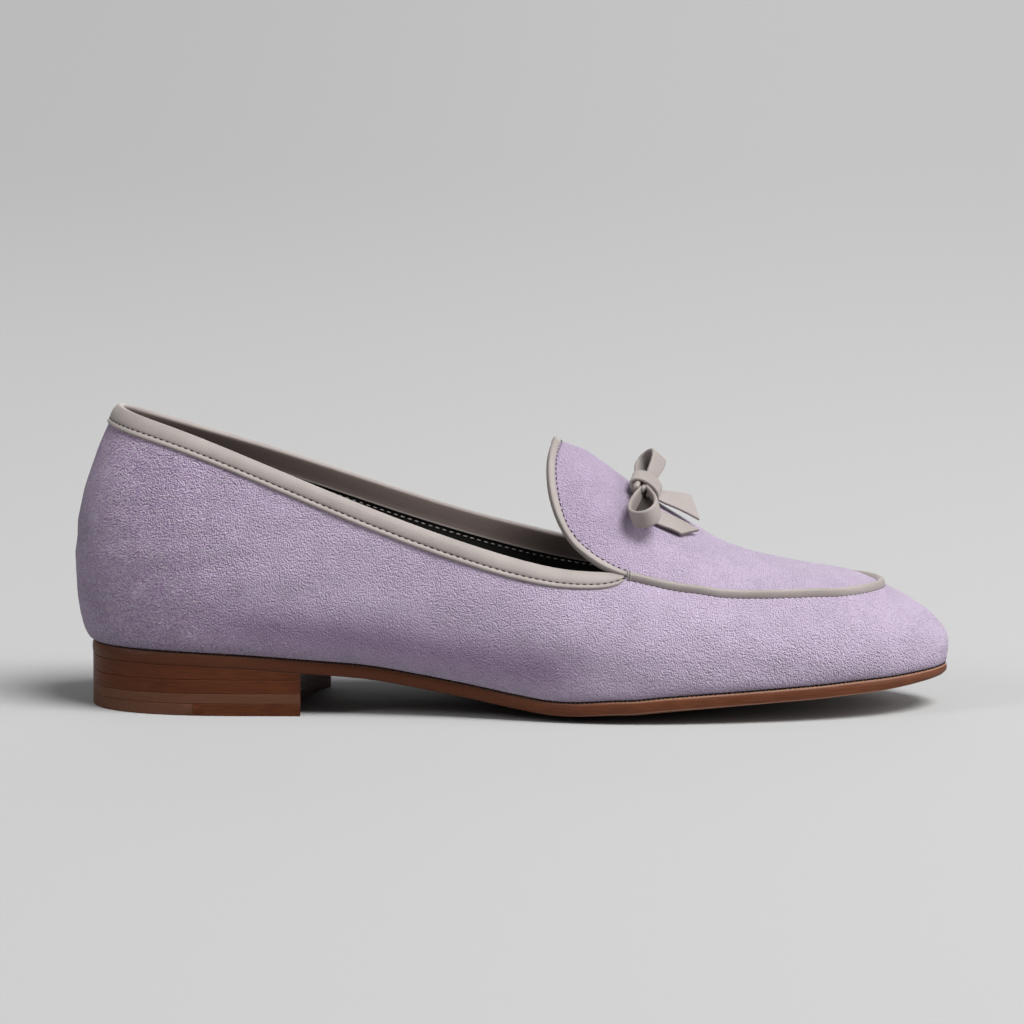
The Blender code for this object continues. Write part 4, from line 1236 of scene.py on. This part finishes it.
def stitch_tree():
    tree = bpy.data.node_groups.new("row_of_stitches", "GeometryNodeTree")
    face = tree.interface
    face.new_socket("Geometry", in_out="INPUT", socket_type="NodeSocketGeometry")
    for name, value in STITCH_TREE_INPUTS.items():
        face.new_socket(name, in_out="INPUT", socket_type="NodeSocketFloat").default_value = value
    face.new_socket("Thread", in_out="INPUT", socket_type="NodeSocketMaterial")
    face.new_socket("Geometry", in_out="OUTPUT", socket_type="NodeSocketGeometry")

    def add(kind, **settings):
        node = tree.nodes.new(kind)
        for name, value in settings.items():
            setattr(node, name, value)
        return node

    def link(source, out, target, into):
        tree.links.new(source.outputs[out], target.inputs[into])

    given, result = add("NodeGroupInput"), add("NodeGroupOutput")
    path, steps = add("GeometryNodeMeshToCurve"), add("GeometryNodeResampleCurve", mode="LENGTH")
    bar, size = add("GeometryNodeMeshUVSphere"), add("ShaderNodeCombineXYZ")
    tangent, turn = add("GeometryNodeInputTangent"), add("FunctionNodeAlignRotationToVector", axis="X")
    place, real = add("GeometryNodeInstanceOnPoints"), add("GeometryNodeRealizeInstances")
    thread = add("GeometryNodeSetMaterial")
    bar.inputs["Segments"].default_value, bar.inputs["Rings"].default_value = 8, 6
    bar.inputs["Radius"].default_value = 0.5
    link(given, "Geometry", path, "Mesh")
    link(path, "Curve", steps, "Curve")
    link(given, "Spacing", steps, "Length")
    link(steps, "Curve", place, "Points")
    link(bar, "Mesh", place, "Instance")
    link(tangent, "Tangent", turn, "Vector")
    link(turn, "Rotation", place, "Rotation")
    link(given, "Length", size, "X")
    link(given, "Thickness", size, "Y")
    link(given, "Thickness", size, "Z")
    link(size, "Vector", place, "Scale")
    link(place, "Instances", real, "Geometry")
    link(real, "Geometry", thread, "Geometry")
    link(given, "Thread", thread, "Material")
    link(thread, "Geometry", result, "Geometry")
    return tree


stitches = stitch_tree()
print("tree:", stitches.name, "with", len(stitches.nodes), "nodes")

# %% Rows of stitches
COLLAR_SEWN_SECTIONS, COLLAR_STITCH_SHARE = 0.06, 0.55
TONGUE_SEWN, THROAT_SEWN = slice(3, -3), slice(2, 10)
TONGUE_STITCH_BESIDE, TONGUE_STITCH_LIFT = 0.00035, 0.00006
PIPING_STITCH_SINK, THROAT_STITCH_LIFT, FEATHER_STITCH_OUT = 0.00005, 0.0001, 0.0001


def make_stitches(name, path, spacing, length, thickness, thread, closed=False):
    """A row of stitches along a path of points, as a plain mesh."""
    count = len(path)
    wire = bpy.data.meshes.new(name + "_path")
    joins = [(k, (k + 1) % count) for k in range(count if closed else count - 1)]
    wire.from_pydata([tuple(p) for p in path], joins, [])
    holder = bpy.data.objects.new(name + "_path", wire)
    bpy.context.scene.collection.objects.link(holder)
    row = holder.modifiers.new("stitches", "NODES")
    row.node_group = stitches
    values = {"Spacing": spacing, "Length": length, "Thickness": thickness, "Thread": thread}
    for item in stitches.interface.items_tree:
        if item.in_out == "INPUT" and item.name in values:
            row[item.identifier] = values[item.name]
    graph = bpy.context.evaluated_depsgraph_get()
    mesh = bpy.data.meshes.new_from_object(holder.evaluated_get(graph), depsgraph=graph)
    bpy.data.objects.remove(holder)
    mesh.shade_smooth()
    mesh.name = name
    sewing = bpy.data.objects.new(name, mesh)
    bpy.context.scene.collection.objects.link(sewing)
    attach(sewing, "root")
    return sewing


sewn = np.flatnonzero(collar_from_throat > COLLAR_END_SECTIONS + COLLAR_SEWN_SECTIONS)
collar_row = collar_surface(collar_stitch) + collar_normal * (collar_thin * COLLAR_STITCH_SHARE)[:, None]
collar_inner_row = collar_surface(collar_inside + INNER_STITCH_BELOW) - collar_normal * WALL
tongue_row = inside_apron(tongue_line, tongue_leg + TONGUE_STITCH_BESIDE)
tongue_row = tongue_row + tongue_normal * TONGUE_STITCH_LIFT
piping_row = piping_foot - piping_normal * PIPING_STITCH_SINK
throat_row = piping_top + piping_normal * THROAT_STITCH_LIFT
feather_row = offset_outline(foot + np.array([0, 0, -GAP / 2]), FEATHER_STITCH_OUT)
# name: path, spacing, length, thickness, thread, closed
STITCH_ROWS = {
    "collar_stitches": (collar_row[sewn], 0.0020, 0.0012, 0.00042, dark_thread, False),
    # pale thread, partly a painted highlight on the lower edge of the inner band
    "collar_inner_stitches": (collar_inner_row[sewn], 0.0022, 0.0014, 0.0004, pale_thread, False),
    "tongue_stitches": (tongue_row[TONGUE_SEWN], 0.0018, 0.0010, 0.00034, dark_thread, False),
    "piping_stitches": (piping_row, 0.0017, 0.0010, 0.00032, dark_thread, False),
    "throat_stitches": (throat_row[THROAT_SEWN], 0.0036, 0.0008, 0.0003, dark_thread, False),
    "feather_stitches": (feather_row, 0.0014, 0.0011, 0.0008, dark_thread, True),
}
for name, row in STITCH_ROWS.items():
    make_stitches(name, *row)

# %% [markdown]
# ## The bow
# A flat ribbon of the taupe leather is folded into two loops, gathered, and held by a short band; its cut
# ends lie towards the toe. Each ribbon is a soft-edged section swept along its own path, so that the loops
# are hollow and show their inside. A fold closes each loop underneath, and its dark colour is painted shade
# for the hollow. The gathers in the band are three rounded fingers, the way the folds look end on.

# %% Bow frame
BOW_X, BOW_Y = 0.0371, -0.0053
KNOT_HALF_LENGTH, KNOT_RADIUS_ALONG, KNOT_RADIUS_UP, KNOT_WALL = 0.0038, 0.0039, 0.0019, 0.0013
RIBBON_THICKNESS, LOOP_WIDTH_AT_KNOT, LOOP_WIDTH, LOOP_ROOT = 0.0011, 0.0034, 0.0057, 0.6
LOOP_START, LOOP_NECK, WIDTH_FULLNESS, DEPTH_FULLNESS = 0.08, 0.25, 0.25, 0.6
KNOT_UP = 2 * GAP + KNOT_RADIUS_UP + KNOT_WALL


def on_apron(x, y):
    return np.array([x, y, float(apron_height(np.array([x]), np.array([y]))[0])])


def bow_frame():
    """Origin on the apron, and axes towards the toe, towards medial and out from the surface."""
    step = KNOT_HALF_LENGTH
    along = unit(on_apron(BOW_X + step, BOW_Y) - on_apron(BOW_X - step, BOW_Y))
    across = on_apron(BOW_X, BOW_Y + step) - on_apron(BOW_X, BOW_Y - step)
    up = unit(np.cross(along, across))
    return on_apron(BOW_X, BOW_Y), along, np.cross(up, along), up


def soft_section(half_width, half_thickness, count=20):
    """Corners of a flat ribbon's section with rounded edges, as (across the width, through the thickness)."""
    turns = np.linspace(0, 2 * math.pi, count, endpoint=False)
    width = np.sign(np.cos(turns)) * np.abs(np.cos(turns)) ** WIDTH_FULLNESS * half_width
    depth = np.sign(np.sin(turns)) * np.abs(np.sin(turns)) ** DEPTH_FULLNESS * half_thickness
    return np.column_stack([width, depth])


bow_origin, bow_along, bow_across, bow_up = bow_frame()
print("bow sits at", np.round(bow_origin, 4))

# %% Knot
RIM_ROLL, GATHER_TIP, GATHER_FULLNESS = 0.00025, 0.12, 0.35
# name: middle along the shoe, half width, half height and length outside the band, in metres
GATHERS = {
    "bow_gather_heel": (-0.0027, 0.00105, 0.00150, 0.0026),
    "bow_gather_middle": (-0.0005, 0.00115, 0.00180, 0.0016),
    "bow_gather_toe": (0.0019, 0.00125, 0.00165, 0.0012),
}


def make_knot():
    """The band round the middle; its two rims are rolled a little thicker."""
    section = soft_section(KNOT_HALF_LENGTH, KNOT_WALL / 2, 28)
    rings = []
    for turn in np.linspace(0, 2 * math.pi, 64, endpoint=False):
        ring = []
        for reach, depth in section:
            wall = KNOT_WALL / 2 + depth - RIM_ROLL * (1 - (reach / KNOT_HALF_LENGTH) ** 4)
            forward = (KNOT_RADIUS_ALONG + wall) * math.cos(turn)
            rise = KNOT_UP + (KNOT_RADIUS_UP + wall) * math.sin(turn)
            ring.append(bow_origin + bow_along * forward + bow_across * reach + bow_up * rise)
        rings.append(ring)
    return sweep("bow_band", rings, taupe, ["bow_knot"], closed=True, sharp=60)


def make_gather(name, middle, half_width, half_height, overhang):
    """One fold of ribbon pressed into the band, a rounded finger that shows at both mouths."""
    reach = KNOT_HALF_LENGTH + overhang
    turns = np.linspace(0, 2 * math.pi, 16, endpoint=False)
    spokes = np.outer(np.cos(turns), bow_along * half_width) + np.outer(np.sin(turns), bow_up * half_height)
    rings = []
    for at in np.linspace(-math.pi / 2 + GATHER_TIP, math.pi / 2 - GATHER_TIP, 17):
        centre = bow_origin + bow_up * KNOT_UP + bow_along * middle + bow_across * (reach * math.sin(at))
        rings.append(centre + spokes * math.cos(at) ** GATHER_FULLNESS)
    return sweep(name, rings, taupe, sharp=60)


make_knot()
for name, sizes in GATHERS.items():
    make_gather(name, *sizes)
print("gathers:", len(GATHERS))

# %% Loops
FOLD_SHARE, FOLD_PLACE = 0.97, (-0.34, -0.26)
# name: side, slope, turn and lean in degrees, reach and half breadth in metres
BOW_LOOPS = {
    "bow_loop_lateral": (-1, -4, 11, -48, 0.0185, 0.0056),
    "bow_loop_medial": (1, 12, -10, -78, 0.0135, 0.0052),
}


def loop_axes(side, slope, turn, lean):
    """Directions of a loop: out from the knot, across its opening, and over its ribbon's width."""
    slope, turn, lean = math.radians(slope), math.radians(turn), math.radians(lean)
    sideways = bow_across * (side * math.cos(turn)) + bow_along * math.sin(turn)
    forward = bow_along * math.cos(turn) - bow_across * (side * math.sin(turn))
    out = sideways * math.cos(slope) + bow_up * math.sin(slope)
    raised = bow_up * math.cos(slope) - sideways * math.sin(slope)
    width = raised * math.cos(lean) + forward * math.sin(lean)
    opening = forward * math.cos(lean) - raised * math.sin(lean)
    return out, opening, width


def make_loop(node, side, slope, turn, lean, reach, breadth):
    """A teardrop of ribbon standing on edge: out from the knot's mouth, round and back into it."""
    out, opening, width_axis = loop_axes(side, slope, turn, lean)
    mouth = bow_origin + bow_up * KNOT_UP + bow_across * (side * KNOT_HALF_LENGTH * LOOP_ROOT)
    turns = np.linspace(LOOP_START, 1 - LOOP_START, 73) * 2 * math.pi
    share = (1 - np.cos(turns)) / 2
    spread = np.sin(turns) * (LOOP_NECK + (1 - LOOP_NECK) * share)
    path = np.column_stack([reach * share, breadth * spread])
    tangent = unit(np.gradient(path, axis=0))
    through = np.column_stack([-tangent[:, 1], tangent[:, 0]])
    width = LOOP_WIDTH_AT_KNOT + (LOOP_WIDTH - LOOP_WIDTH_AT_KNOT) * np.sin(math.pi / 2 * share)
    rings = []
    for point, depth_axis, wide in zip(path, through, width):
        ring = []
        for over, deep in soft_section(wide / 2, RIBBON_THICKNESS / 2):
            spot = point + depth_axis * deep
            ring.append(mouth + out * spot[0] + opening * spot[1] + width_axis * over)
        rings.append(ring)
    sweep(node + "_ribbon", rings, taupe, [node], sharp=60)
    # the fold that closes the loop underneath, dark with painted shade for its hollow
    middle = path.mean(axis=0)
    inside = mouth + np.outer((path - middle) @ (1, 0) * FOLD_SHARE + middle[0], out)
    inside = inside + np.outer((path - middle) @ (0, 1) * FOLD_SHARE + middle[1], opening)
    plate = [inside + width_axis * (LOOP_WIDTH * at) for at in FOLD_PLACE]
    return sweep(node + "_fold", plate, fold_painted_shade, sharp=60)


for node, settings in BOW_LOOPS.items():
    make_loop(node, *settings)
print("loops:", len(BOW_LOOPS))

# %% Tails
# Corners in millimetres as x, y and clearance over the apron: near and far edge at the knot, then at the cut
BOW_TAILS = {
    "bow_tail_lateral": ((43.6, -15.2, 0.8), (44.4, -9.2, 1.4), (49.3, -14.6, 0.8), (54.8, -8.8, 1.6)),
    "bow_tail_medial": ((45.0, -3.6, 1.8), (45.2, 1.4, 4.4), (55.0, -2.0, 2.4), (52.4, 3.2, 7.5)),
}
TAIL_SAG, TAIL_UNDER_KNOT = 0.25, 0.42


def make_tail(node, corners):
    """A flat ribbon end from under the knot towards the toe, with a slanted cut."""
    spots = [on_apron(x / 1000, y / 1000) + np.array([0, 0, lift / 1000]) for x, y, lift in corners]
    knot_near, knot_far, end_near, end_far = spots
    up = unit(np.cross(end_near - knot_near, knot_far - knot_near))
    rings = []
    for share in np.linspace(-TAIL_UNDER_KNOT, 1, 25):
        sag = TAIL_SAG * math.sin(math.pi * max(share, 0))
        lift = up * RIBBON_THICKNESS * (0.5 + sag)
        near = knot_near + (end_near - knot_near) * share + lift
        far = knot_far + (end_far - knot_far) * share + lift
        half = np.linalg.norm(far - near) / 2
        across = (far - near) / (2 * half)
        ring = [(near + far) / 2 + across * w + up * d for w, d in soft_section(half, RIBBON_THICKNESS / 2)]
        rings.append(ring)
    return sweep(node + "_ribbon", rings, taupe, [node], sharp=60)


for node, corners in BOW_TAILS.items():
    make_tail(node, corners)
print("tails:", len(BOW_TAILS))
